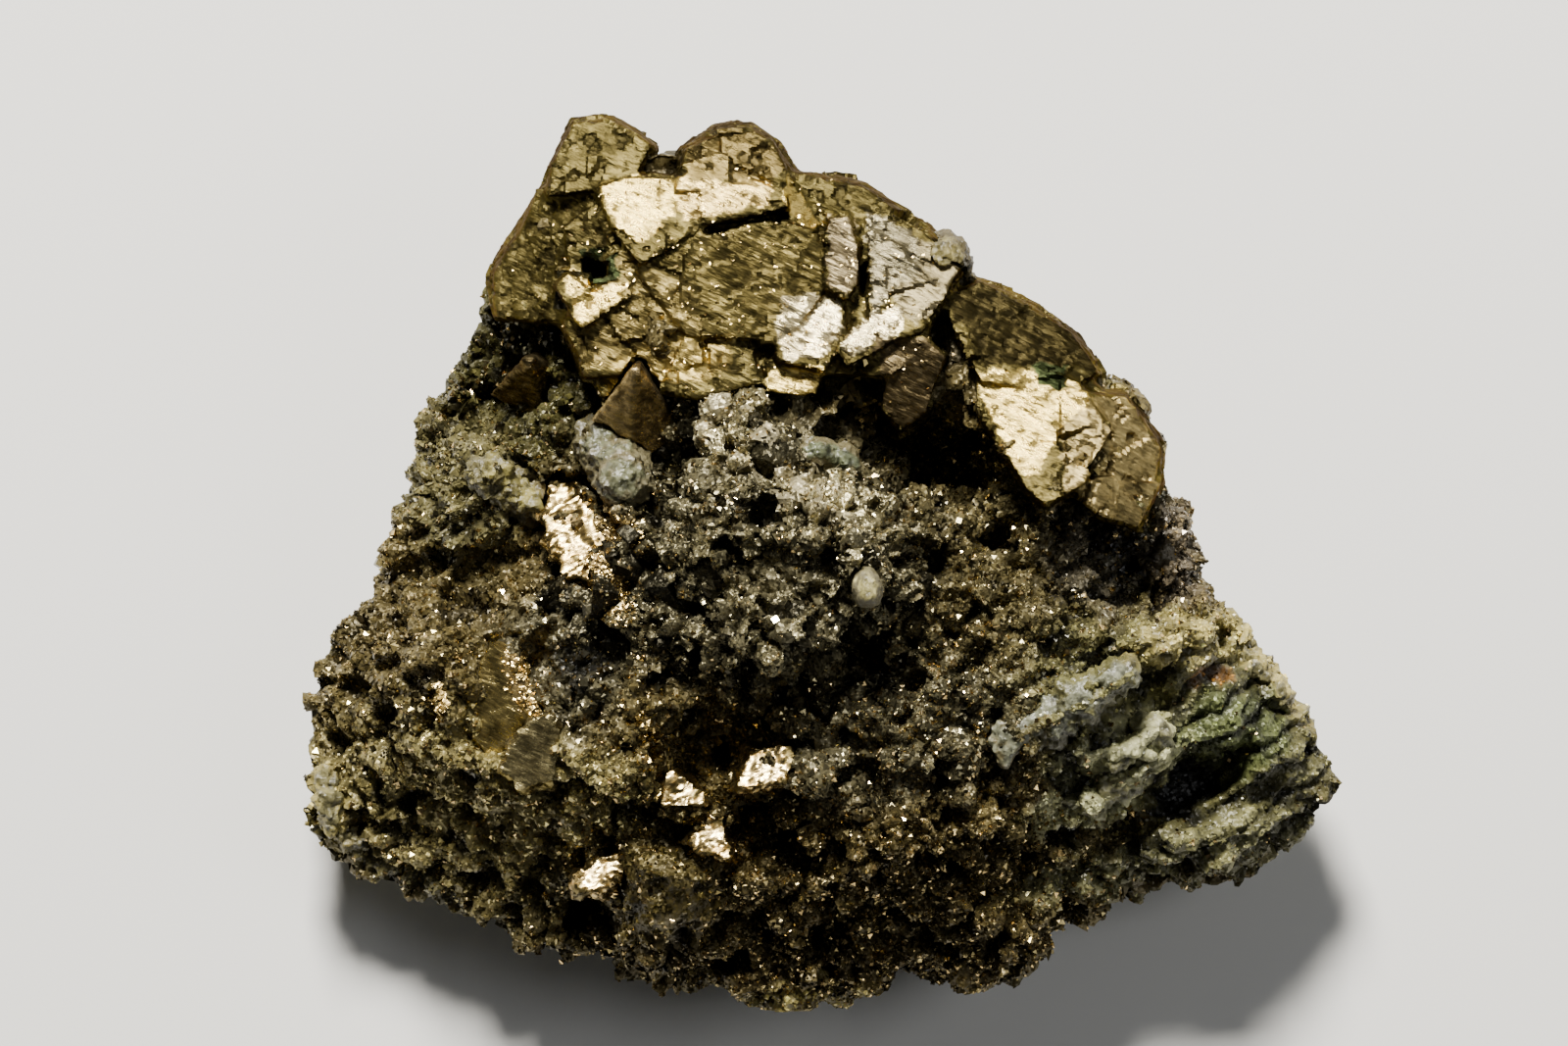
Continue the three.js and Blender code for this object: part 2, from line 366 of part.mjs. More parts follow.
// A single crystal with its top and foot measured from the bare face below its middle.
function seated({ proud, depth, ...crystal }) {
  const top = faceAt(...middleOf(crystal.corners)) + proud;
  return { ...crystal, top, foot: top - depth };
}

// A rounded, slightly lumpy grain seated in the face.
function lumpGeometry({ at, proud, radii, turn = 0 }, detail, grow) {
  const ball = weld(new THREE.IcosahedronGeometry(1, detail));
  const position = ball.getAttribute("position");
  const point = new THREE.Vector3();
  for (let i = 0; i < position.count; i++) {
    point.fromBufferAttribute(position, i);
    const knob = 1 + 0.12 * noise.noise(point.x * 2.1 + at[0], point.y * 2.1 + at[1], point.z * 2.1);
    point.multiply(new THREE.Vector3(...radii.map((r) => r * knob + grow)));
    position.setXYZ(i, point.x, point.y, point.z);
  }
  return ball.rotateZ(radians(turn)).translate(at[0], at[1], faceAt(...at) + proud);
}

// An upright prism over a territory of the face.
function territoryGeometry(border, floor, grow) {
  const shape = new THREE.Shape(offset(border, grow).map(([x, y]) => new THREE.Vector2(x, y)));
  const prism = new THREE.ExtrudeGeometry(shape, { depth: 2 * SUMMIT, bevelEnabled: false });
  return prism.translate(0, 0, floor - grow);
}

// A closed border moved sideways, each corner along the mean normal of its two sides.
function offset(border, distance) {
  const turning = Math.sign(THREE.ShapeUtils.area(border.map(([x, y]) => ({ x, y }))));
  return border.map(([x, y], i) => {
    const [px, py] = border.at(i - 1);
    const [nx, ny] = border[(i + 1) % border.length];
    const along = Math.hypot(nx - px, ny - py);
    return [x + (turning * distance * (ny - py)) / along, y - (turning * distance * (nx - px)) / along];
  });
}

// Faces joined along their shared corners, so that the skin is closed.
function weld(geometry) {
  geometry.deleteAttribute("normal");
  geometry.deleteAttribute("uv");
  return mergeVertices(geometry, 1e-4);
}

// three.js geometry to a closed solid and back.
function solid(geometry) {
  const skin = weld(geometry);
  return new wasm.Manifold(new wasm.Mesh({
    numProp: 3,
    vertProperties: new Float32Array(skin.getAttribute("position").array),
    triVerts: new Uint32Array(skin.index.array),
  }));
}

function geometryOf(manifold) {
  const made = manifold.getMesh();
  const geometry = new THREE.BufferGeometry()
    .setAttribute("position", new THREE.BufferAttribute(new Float32Array(made.vertProperties), 3))
    .setIndex(new THREE.BufferAttribute(new Uint32Array(made.triVerts), 1));
  geometry.computeVertexNormals();
  return geometry;
}

const union = (solids) => solids.reduce((sum, next) => sum.add(next));
const blocks = (list, grow) => union(list.map((block) => solid(blockGeometry(block, grow))));
const lumpsOf = ({ lumps: list, detail }, grow) =>
  union(list.map((lump) => solid(lumpGeometry(lump, detail, grow))));
const largest = (manifold) =>
  manifold.decompose().reduce((best, next) => (next.volume() > best.volume() ? next : best));

const specimen = new THREE.Group();

function addMineral(name, manifold, finish) {
  const mesh = new THREE.Mesh(
    geometryOf(largest(manifold.simplify(FLAT))),
    new THREE.MeshStandardMaterial({ flatShading: true, ...finish }),
  );
  mesh.name = name;
  specimen.add(mesh);
}

// Each mineral takes its place in the rock, and the seat of every one already placed is cut from the
// next with an open seam, so that no two of them overlap.
const seats = [];
const clearOfSeats = (manifold) => seats.reduce((rest, seat) => rest.subtract(seat), manifold);

function placeNodule(name) {
  const nodule = NODULES[name];
  addMineral(name, clearOfSeats(lumpsOf(nodule, 0)), { color: nodule.colour, roughness: 0.5, metalness: 0 });
  seats.push(lumpsOf(nodule, SEAM));
}

placeNodule(IN_FRONT);

for (const [name, place] of Object.entries(CRYSTALS)) {
  const crystal = seated(place);
  const finish = name.startsWith("mirror") ? COLOURS.mirror : COLOURS.chalcopyrite;
  addMineral(name, clearOfSeats(blocks([crystal], 0)), finish);
  seats.push(blocks([crystal], SEAM));
}

const crown = blocks(CROWN, 0).subtract(blocks(CROWN_PITS, 0));
addMineral("chalcopyrite_crown", clearOfSeats(crown), COLOURS.chalcopyrite);
seats.push(blocks(CROWN, SEAM));

Object.keys(NODULES).filter((name) => name !== IN_FRONT).forEach(placeNodule);

const rock = solid(rockGeometry());
const territory = (grow) => solid(territoryGeometry(SIEGENITE.border, SIEGENITE.floor, grow));
addMineral("siegenite_mass", clearOfSeats(rock.intersect(territory(0))), COLOURS.siegenite);
addMineral("matrix", clearOfSeats(rock.subtract(territory(SEAM))), COLOURS.matrix);

// The origin is the middle of the base.
const extent = new THREE.Box3().setFromObject(specimen);
const middle = extent.getCenter(new THREE.Vector3());
specimen.position.set(-middle.x, -middle.y, -extent.min.z);

export default specimen;
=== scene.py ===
# %% [markdown]
# # A siegenite specimen
# The object is a hand specimen: a lump of sulphide ore whose front face is lined with tiny metallic
# crystals. It lies on its broken back and is seen from straight above. The solids give its form. Here it
# gets its real surface: a rough, vuggy rock, a crust of small crystals, flat brassy faces along the
# crown, a grey siegenite knob, and pale grains of quartz and dolomite.

import math

import bpy
import numpy as np
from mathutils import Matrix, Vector, kdtree, noise


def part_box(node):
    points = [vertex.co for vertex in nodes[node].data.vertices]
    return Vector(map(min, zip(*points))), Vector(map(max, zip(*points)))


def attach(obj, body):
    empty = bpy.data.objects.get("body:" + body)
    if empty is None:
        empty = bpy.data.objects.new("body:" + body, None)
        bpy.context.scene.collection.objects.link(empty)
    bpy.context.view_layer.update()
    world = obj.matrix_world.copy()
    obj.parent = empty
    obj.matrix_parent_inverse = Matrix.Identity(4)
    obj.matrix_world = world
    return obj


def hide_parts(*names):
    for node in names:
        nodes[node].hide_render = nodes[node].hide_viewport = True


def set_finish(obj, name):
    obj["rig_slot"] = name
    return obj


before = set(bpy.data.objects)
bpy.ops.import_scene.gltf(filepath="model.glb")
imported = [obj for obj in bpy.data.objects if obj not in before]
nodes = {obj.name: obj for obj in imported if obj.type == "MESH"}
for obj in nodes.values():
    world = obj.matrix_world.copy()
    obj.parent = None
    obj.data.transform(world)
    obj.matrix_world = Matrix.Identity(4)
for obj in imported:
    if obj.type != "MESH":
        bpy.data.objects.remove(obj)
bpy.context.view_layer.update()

MM = 0.001  # the face is described in millimetres
SEED = 7
KEEP_OUT = 0.05 * MM  # room left inside the solids' outer box
WELD = 0.001 * MM  # corners of a solid that are nearer than this are one

scene = bpy.context.scene
random = np.random.default_rng(SEED)
low, high = (np.array(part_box("matrix")[end]) / MM for end in (0, 1))
print("solids:", len(nodes), "rock from", low.round(1), "to", high.round(1))

# %% [markdown]
# Short names for work that comes back often: choosing objects, reading and writing the corners of a
# mesh as an array in millimetres, and applying a modifier at once, so that each shape is final when its
# cell ends. Modifiers could also be left live, but then nothing could be read from the finished shape.
#
# A skin is made by copying solids, growing them a little and melting them together on a fine grid. A
# voxel remesh is the plainest way to get closed, even meshes with enough corners to be made rough.


# %% Mesh helpers
def pick(*objects):
    """These objects alone are selected, and the last is the active one."""
    bpy.ops.object.select_all(action="DESELECT")
    for chosen in objects:
        chosen.select_set(True)
    bpy.context.view_layer.objects.active = objects[-1]


def corners(piece):
    """Corners of a mesh in millimetres, one row each."""
    flat = np.empty(len(piece.data.vertices) * 3)
    piece.data.vertices.foreach_get("co", flat)
    return flat.reshape(-1, 3) / MM


def normals(piece):
    """Outward direction at each corner."""
    flat = np.empty(len(piece.data.vertices) * 3)
    piece.data.vertices.foreach_get("normal", flat)
    return flat.reshape(-1, 3)


def place_corners(piece, points):
    """Moves every corner to its place in millimetres."""
    piece.data.vertices.foreach_set("co", (points * MM).ravel())
    piece.data.update()


def modify(piece, kind, **settings):
    """Adds one modifier and applies it."""
    pick(piece)
    modifier = piece.modifiers.new(kind.title(), kind)
    for key, value in settings.items():
        setattr(modifier, key, value)
    bpy.ops.object.modifier_apply(modifier=modifier.name)


def copy_of(node, name, grow=0.0):
    """A welded copy of one solid, swollen along its normals by some millimetres."""
    piece = bpy.data.objects.new(name, nodes[node].data.copy())
    scene.collection.objects.link(piece)
    piece.data.materials.clear()
    pick(piece)
    bpy.ops.object.mode_set(mode="EDIT")
    bpy.ops.mesh.select_all(action="SELECT")
    bpy.ops.mesh.remove_doubles(threshold=WELD)
    bpy.ops.mesh.normals_make_consistent(inside=False)
    bpy.ops.object.mode_set(mode="OBJECT")
    if grow:
        modify(piece, "DISPLACE", strength=grow * MM, mid_level=0)
    return piece


def fused(name, growths, voxel):
    """Copies of several solids grown by {node: millimetres}, melted into one closed skin."""
    copies = [copy_of(node, name, grow) for node, grow in growths.items()]
    pick(*copies)
    bpy.ops.object.join()
    piece = bpy.context.object
    piece.name = name
    modify(piece, "REMESH", mode="VOXEL", voxel_size=voxel)
    return piece


SOLID_BOX = (
    np.min([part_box(name)[0] for name in nodes], axis=0) + (KEEP_OUT, KEEP_OUT, 0),
    np.max([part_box(name)[1] for name in nodes], axis=0) - KEEP_OUT,
)


def hold_inside(piece):
    """Keeps a skin inside the box of the solids and its rest flat."""
    box_low, box_high = (np.array(end) / MM for end in SOLID_BOX)
    place_corners(piece, np.clip(corners(piece), box_low, box_high))


print("box of the solids:", [(end / MM).round(2).tolist() for end in SOLID_BOX])

# %% [markdown]
# Broken rock and crystal crust aren't smooth at any scale. Four kinds of unevenness are enough here:
# rolling noise, cobbles with creases between them, ridges drawn out one way, and broken cells that are
# each flat. Each is a number per corner, so they can be weighed by zone and added up. Displace modifiers
# could do the same with textures, but not with colours that follow the shape.


# %% Unevenness
CREASE = 2.2  # how steeply cobbles rise from the creases between them


def rolling(points, size, octaves=3, shift=0.0):
    """Smooth fractal noise, about -1 to 1, with lumps of some millimetres."""
    scaled = (points + shift) / size
    return np.array([noise.fractal(Vector(p), 1.0, 2.0, octaves) for p in scaled])


def cobbles(points, size, shift=0.0):
    """0 in the creases between rounded cells and 1 over their middles."""
    scaled = (points + shift) / size
    gaps = [noise.voronoi(Vector(p))[0] for p in scaled]
    return np.array([min(1.0, CREASE * (g[1] - g[0])) for g in gaps])


def striae(points, turn, size, length):
    """Fine ridges that run over the face at an angle: `size` across and `length` times as long."""
    c, s = math.cos(math.radians(turn)), math.sin(math.radians(turn))
    along = points[:, 0] * c + points[:, 1] * s
    across = points[:, 1] * c - points[:, 0] * s
    return rolling(np.stack([along / length, across, points[:, 2]], axis=1), size, octaves=2, shift=2.0)


def frayed(points, amount, size):
    """Points shifted by noise, so that borders drawn with them come out ragged."""
    return points + amount * np.stack([rolling(points, size, shift=s) for s in (20.0, 40.0, 60.0)], axis=1)


def ramp(values, start, end):
    """0 before start, 1 after end, smooth between."""
    share = np.clip((values - start) / (end - start), 0, 1)
    return share * share * (3 - 2 * share)


def cells(points, seeds):
    """Number of the seed nearest to each point."""
    tree = kdtree.KDTree(len(seeds))
    for number, seed in enumerate(seeds):
        tree.insert(seed, number)
    tree.balance()
    return np.array([tree.find(point)[1] for point in points])


def broken_facets(points, count, tilt, step, draws=random):
    """Lift in millimetres that breaks a surface into flat cells, and the number of each point's cell."""
    seeds = points[draws.choice(len(points), count, replace=False)]
    cell = cells(points, seeds)
    tilts = tilt * draws.normal(size=(count, 3))
    steps = step * draws.normal(size=count)
    return ((points - seeds[cell]) * tilts[cell]).sum(axis=1) + steps[cell], cell


def inside(points, outline):
    """1 where a point lies inside an outline of the face seen from above, 0 elsewhere."""
    x, y = points[:, 0], points[:, 1]
    crossings = np.zeros(len(points), dtype=int)
    for (ax, ay), (bx, by) in zip(outline, outline[1:] + outline[:1]):
        spans = (ay > y) != (by > y)
        crossings += spans & (x < ax + (bx - ax) * (y - ay) / (by - ay if by != ay else 1.0))
    return (crossings % 2).astype(float)


def within(points, at, reach, turn=0.0, soft=0.5):
    """1 inside an ellipse of the face, 0 outside, with a soft border."""
    c, s = math.cos(math.radians(turn)), math.sin(math.radians(turn))
    dx, dy = points[:, 0] - at[0], points[:, 1] - at[1]
    out = np.hypot((dx * c + dy * s) / reach[0], (dy * c - dx * s) / reach[1])
    return 1 - ramp(out, 1 - soft, 1 + soft)


print("kinds of unevenness:", [kind.__name__ for kind in (rolling, cobbles, striae, broken_facets)])

# %% [markdown]
# The colours follow the minerals. Most of the face is bronze-brown sulphide druse. The knob and the
# ridges below it are steel-grey siegenite, the right wing is greenish rock with little metal, and the
# thin rims are pale dolomite. Every zone gives a reflectance and a share of metal, and zones later in
# the list are painted over earlier ones. Colours are stored on the corners, because a crystal of the
# crust then takes the colour of the place where it grew.

# %% Zones of the face
BRONZE = (0.20, 0.158, 0.06)
DARK_BRONZE = (0.155, 0.12, 0.045)
BRASS = (0.80, 0.58, 0.25)
STEEL = (0.23, 0.203, 0.11)
KHAKI = (0.20, 0.175, 0.07)
OLIVE = (0.085, 0.077, 0.024)
GREENISH = (0.17, 0.16, 0.06)
CREAM = (0.50, 0.42, 0.14)
GREEN = (0.16, 0.185, 0.065)
RUST = (0.36, 0.17, 0.03)

# places that come back: middle, reach and turn of an ellipse on the face
WING = ((16.8, -8.0), (8.0, 5.2), -24)
LEFT_SLOPE = ((-15.5, -8.0), (8.5, 8.5), 0)
FOOT_KNOB = ((-7.3, -15.2), (2.6, 2.6), 0)
BEHIND_CROWN = ((-2.0, 17.0), (14.5, 6.0), -27)
BRASS_FLASH = ((-10.0, 0.4), (1.6, 2.2), -8)

ZONES = [
    # what, middle, reach, turn, colour, share of metal
    ("behind the crown", *BEHIND_CROWN, (0.12, 0.093, 0.032), 0.95),
    ("upper left flank", (-14.5, 9.5), (4.0, 5.5), 30, OLIVE, 0.5),
    ("left ledge", (-17.0, 3.6), (3.0, 4.0), 20, KHAKI, 0.35),
    ("left hump", (-18.5, -5.0), (4.6, 4.4), 0, BRONZE, 0.7),
    # partly painted light: the lower left slope has a paler tone of its own, and is painted lighter still to
    # make up for the shade it gets in its trench
    ("lower left slope", (-14.0, -12.0), (9.0, 4.5), -20, (0.42, 0.355, 0.135), 0.6),
    ("foot", (-1.0, -15.5), (11.0, 5.0), 0, DARK_BRONZE, 0.85),
    ("drape", (4.5, -7.0), (7.0, 3.4), 22, STEEL, 0.8),
    ("grey slope", (-12.0, -4.5), (3.4, 3.4), 20, STEEL, 0.8),
    ("middle right", (9.0, -0.5), (6.0, 4.5), -30, (0.20, 0.165, 0.07), 0.75),
    ("knob", (-3.5, 1.0), (8.4, 6.4), -12, STEEL, 0.85),
    ("sugary ridge", (-2.4, 4.8), (5.4, 1.5), -38, (0.58, 0.51, 0.30), 0.75),
    ("brass flash", *BRASS_FLASH, BRASS, 0.97),
    # painted shade: a near-black patch beside the slab
    ("painted shade by the slab", (-11.5, -4.6), (1.0, 1.3), 0, (0.02, 0.018, 0.01), 0.3),
    ("right wing", (16.8, -7.8), (8.0, 5.0), -24, GREENISH, 0.15),
    ("wing ridge", (16.6, -3.6), (2.6, 1.2), 20, CREAM, 0.03),
    ("wing flow", (13.2, -9.6), (4.0, 1.8), 34, (0.70, 0.69, 0.36), 0.05),
    ("green flush", (18.9, -7.9), (2.6, 2.0), 20, GREEN, 0.5),
    # painted shade: the inside of the wing's hole is painted near black
    ("painted shade in the wing hole", (17.0, -10.4), (1.7, 1.1), 32, (0.01, 0.01, 0.008), 0.1),
    ("rust spot", (17.8, -5.2), (0.9, 0.5), 25, RUST, 0.0),
    ("wing lower edge", (16.5, -13.6), (7.5, 1.2), 12, (0.23, 0.22, 0.095), 0.1),
    ("right rim", (20.6, -4.6), (3.2, 0.7), -50, CREAM, 0.02),
    ("foot rim", (-1.0, -20.3), (5.0, 0.5), -2, CREAM, 0.05),
    ("left lip", (-23.2, -11.4), (0.9, 2.4), 12, CREAM, 0.03),
    ("lip band", (-19.6, -14.6), (3.6, 0.6), -28, KHAKI, 0.05),
    ("foot knob", *FOOT_KNOB, (0.125, 0.098, 0.030), 0.85),
    # painted highlight: a bright streak on the glassy foot knob
    ("painted highlight on the foot knob", (-7.2, -16.9), (0.35, 1.1), 15, (0.50, 0.41, 0.18), 0.6),
    ("shoulder grey", (12.6, 0.6), (2.6, 2.6), 0, (0.15, 0.13, 0.08), 0.5),
    ("right rim grey", (16.2, 0.6), (1.6, 2.6), 10, (0.18, 0.145, 0.09), 0.4),
    # painted shade: a near-black line along the groove in the shoulder
    ("shoulder groove", (13.6, 0.4), (0.5, 1.5), 4, (0.012, 0.012, 0.008), 0.1),
    ("shoulder moss", (14.4, 3.2), (1.0, 1.8), 10, OLIVE, 0.3),
]
METAL_BASE = 0.72
BAND_TURN = math.radians(33)  # the wing's flow bands climb to the right at this angle
BAND_WAVER = 0.7  # millimetres by which they wander
BANDS = [(0.6, 4.6), (0.4, 9.5)]  # weight, and radians in a millimetre across
BAND_CONTRAST = 0.8


def flow_bands(points):
    """Wavering bands of the right wing: -1 to 1 across them, and 0 off the wing."""
    across = points[:, 1] * math.cos(BAND_TURN) - points[:, 0] * math.sin(BAND_TURN)
    wavering = across + BAND_WAVER * rolling(points, size=3.0, shift=15.0)
    return within(points, *WING) * sum(weight * np.sin(rate * wavering) for weight, rate in BANDS)


def blend(tint, share, colour):
    """Moves the tint of each corner towards a colour by a share of the way."""
    return tint + share[:, None] * (np.array(colour) - tint)


def zone_paint(points):
    """Colour and share of metal of the face at each point. The borders of the zones are ragged."""
    tint = np.tile(BRONZE, (len(points), 1)).astype(float)
    metal = np.full(len(points), METAL_BASE)
    ragged = frayed(points, amount=0.9, size=1.5)
    for _, at, reach, turn, colour, share in ZONES:
        here = within(ragged, at, reach, turn, soft=0.3)
        tint = blend(tint, here, colour)
        metal += here * (share - metal)
    tint *= (1 + BAND_CONTRAST * flow_bands(points))[:, None]
    return tint, metal


def paint(piece, tint, metal, polish=None):
    """Stores colour, share of metal and polish on the corners, for the materials to read."""
    count = len(piece.data.vertices)
    colours = np.ones((count, 4))
    colours[:, :3] = np.clip(tint, 0, 1)
    piece.data.color_attributes.new("tint", "FLOAT_COLOR", "POINT")
    piece.data.attributes["tint"].data.foreach_set("color", colours.ravel())
    for name, values in (("metal", metal), ("polish", metal if polish is None else polish)):
        piece.data.attributes.new(name, "FLOAT", "POINT")
        piece.data.attributes[name].data.foreach_set("value", np.clip(values, 0, 1))


print("zones:", len(ZONES))

# %% [markdown]
# The rock itself is one body. Its skin is melted together from the solid and slightly shrunk copies of
# the minerals set in it, so that every seam is closed from below. Then it is made uneven: cobbles, vugs
# and broken plates where druse grows, gentler breaks and flow bands on the wing, and rough fracture on
# the back. Behind the crown it is calm and drawn in, so that it doesn't stand out past the flat faces.
# It stays flat where it rests.

# %% Rock body
ROCK_VOXEL = 0.26 * MM
ROCK_FACETS = 7000
ROCK_PLATES = 1400
PLATE_SEED = 3
SEATED = -0.35  # millimetres by which minerals with a skin of their own are drawn in
COBBLES = [
    # millimetres across, shift of the pattern, height in mm, level that keeps its place, share of light
    (2.1, 0.0, 0.75, 0.7, 0.5),
    (1.0, 3.0, 0.40, 0.6, 0.35),
]
SWELL = 0.4  # millimetres
CREASE_LIGHT = 0.2  # light that reaches a crease between cobbles
VUG_SHADE = 0.7  # light that is lost in a vug
DARKEST = 0.06
CALMER = [(WING, 0.82), (FOOT_KNOB, 0.8), (LEFT_SLOPE, 0.4), (BEHIND_CROWN, 0.85)]  # places, and by how much
BACK_ROUGHNESS = 0.45
FACE_EXTRA = 0.55  # roughness that the face has besides
BACK_COVER = 0.6  # how far the back loses the colours of the face
BACK_TONE = 0.8
BAND_HEIGHT = 0.26  # millimetres
DRAWN_IN = 0.35  # millimetres behind the crown


def rock_growths():
    """How far each solid is grown before the rock is melted from them."""
    growths = {name: SEATED for name in nodes}
    growths["matrix"] = 0.2
    growths["siegenite_mass"] = 0.0
    return growths


def vugs(points):
    """1 in the small holes that dissolved grains left in the rock, 0 between them."""
    return ramp(rolling(points, size=1.5, octaves=2, shift=9.0), start=0.10, end=0.35)


def pores(points):
    """1 in the still finer holes of the siegenite sponge."""
    return ramp(rolling(points, size=0.75, octaves=2, shift=31.0), start=0.08, end=0.26)


def roughen(piece, amount, vug_depth):
    """Moves the corners along their normals by cobbles, swells and vugs, and gives the light on each."""
    points = corners(piece)
    lift = np.zeros(len(points))
    light = np.full(len(points), CREASE_LIGHT)
    for size, shift, height, level, share in COBBLES:
        cobble = cobbles(points, size, shift)
        lift += height * (cobble - level)
        light += share * cobble
    holes = vugs(points)
    lift += SWELL * rolling(points, size=2.8)
    lift -= vug_depth * holes
    place_corners(piece, points + normals(piece) * (amount * lift)[:, None])
    return np.clip(light - VUG_SHADE * holes, DARKEST, 1)


rock = fused("rock", rock_growths(), ROCK_VOXEL)
modify(rock, "SMOOTH", factor=0.6, iterations=4)
rock_points = corners(rock)
on_face = ramp(normals(rock)[:, 2], start=-0.25, end=0.2)
facet_lift, _ = broken_facets(rock_points, ROCK_FACETS, tilt=0.26, step=0.06)
plate_lift, _ = broken_facets(rock_points, ROCK_PLATES, tilt=0.22, step=0.08,
                              draws=np.random.default_rng(PLATE_SEED))
calm = np.ones(len(rock_points))
for place, share in CALMER:
    calm *= 1 - share * within(rock_points, *place)
above_rest = ramp(rock_points[:, 2], start=0.2, end=1.5)
rough_amount = (BACK_ROUGHNESS + FACE_EXTRA * on_face) * calm * above_rest
rock_light = roughen(rock, rough_amount, vug_depth=1.1)
extra_lift = rough_amount * (facet_lift + plate_lift) + BAND_HEIGHT * on_face * flow_bands(rock_points)
extra_lift -= DRAWN_IN * within(rock_points, *BEHIND_CROWN)
place_corners(rock, corners(rock) + normals(rock) * extra_lift[:, None])
hold_inside(rock)
rock_tint, rock_metal = zone_paint(rock_points)
rock_tint = blend(rock_tint, BACK_COVER * (1 - on_face), BACK_TONE * np.array(GREENISH))
rock_tint *= 0.15 + 0.6 * rock_light[:, None]
rock_metal *= 0.35 + 0.3 * on_face  # less than the crystals that grow on it
paint(rock, rock_tint, rock_metal)
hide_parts("matrix")
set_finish(rock, "sulphide_druse")
print("rock faces:", len(rock.data.polygons))

# %% [markdown]
# The grey knob is siegenite: a mass of tiny octahedra grown into a sponge. It is the part that gives
# the specimen its name. Its skin is rougher than the rock's, with deep small vugs and finer pores. The
# crystals themselves follow with the crust, and only the sponge under them is shaped here.

# %% Siegenite mass
SIEGENITE_VOXEL = 0.16 * MM
SUGARY_RIDGE = ((-1.6, 4.2), (6.4, 2.0), -38)  # the lighter crest of the knob
RIDGE_LIGHT = 1.9
PORE_DEPTH = 0.6  # millimetres

siegenite = copy_of("siegenite_mass", "siegenite", grow=0.22)
modify(siegenite, "REMESH", mode="VOXEL", voxel_size=SIEGENITE_VOXEL)
modify(siegenite, "SMOOTH", factor=0.5, iterations=3)
knob_points = corners(siegenite)
knob_light = roughen(siegenite, 1.0, vug_depth=1.3)
knob_pores = pores(knob_points)
place_corners(siegenite, corners(siegenite) - normals(siegenite) * (PORE_DEPTH * knob_pores)[:, None])
hold_inside(siegenite)
# painted light: the knob is painted lighter towards its top, and lighter still along its paler ridge
top_light_and_ridge = ramp(knob_points[:, 2], start=15.0, end=20.5) + RIDGE_LIGHT * within(knob_points, *SUGARY_RIDGE)
# painted shade: the sponge's tint is darkened in its creases, vugs and pores
knob_unshaded = knob_light * (1 - 0.9 * knob_pores)
knob_tint = np.array(STEEL) * (0.45 + 0.9 * top_light_and_ridge)[:, None] * (0.08 + 0.9 * knob_unshaded)[:, None]
paint(siegenite, knob_tint, np.full(len(knob_points), 0.8))
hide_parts("siegenite_mass")
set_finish(siegenite, "siegenite")
print("siegenite faces:", len(siegenite.data.polygons))

# %% [markdown]
# The crown is chalcopyrite: flat faces meeting in blunt edges. A very fine remesh keeps those edges
# nearly sharp while giving enough corners for chips, low growth steps and pits. Some faces reflect like
# new brass, others are tarnished to bronze or grey, and a list says which. An image would be the other
# way to colour them, but outlines in millimetres stay sharp at any size. At the end the flat stretches
# are thinned a little.

# %% Chalcopyrite crown
CROWN_VOXEL = 0.13 * MM
DULL = (0.080, 0.064, 0.021)
TARNISHED = (0.088, 0.069, 0.022)
OLD_GOLD = (0.27, 0.20, 0.06)
FRESH = (0.53, 0.39, 0.11)
SILVERY = (0.60, 0.50, 0.27)
# near-black green: painted shade inside the green-lined hole, and the colour of the green spot
PIT_SHADE_GREEN = (0.020, 0.026, 0.010)

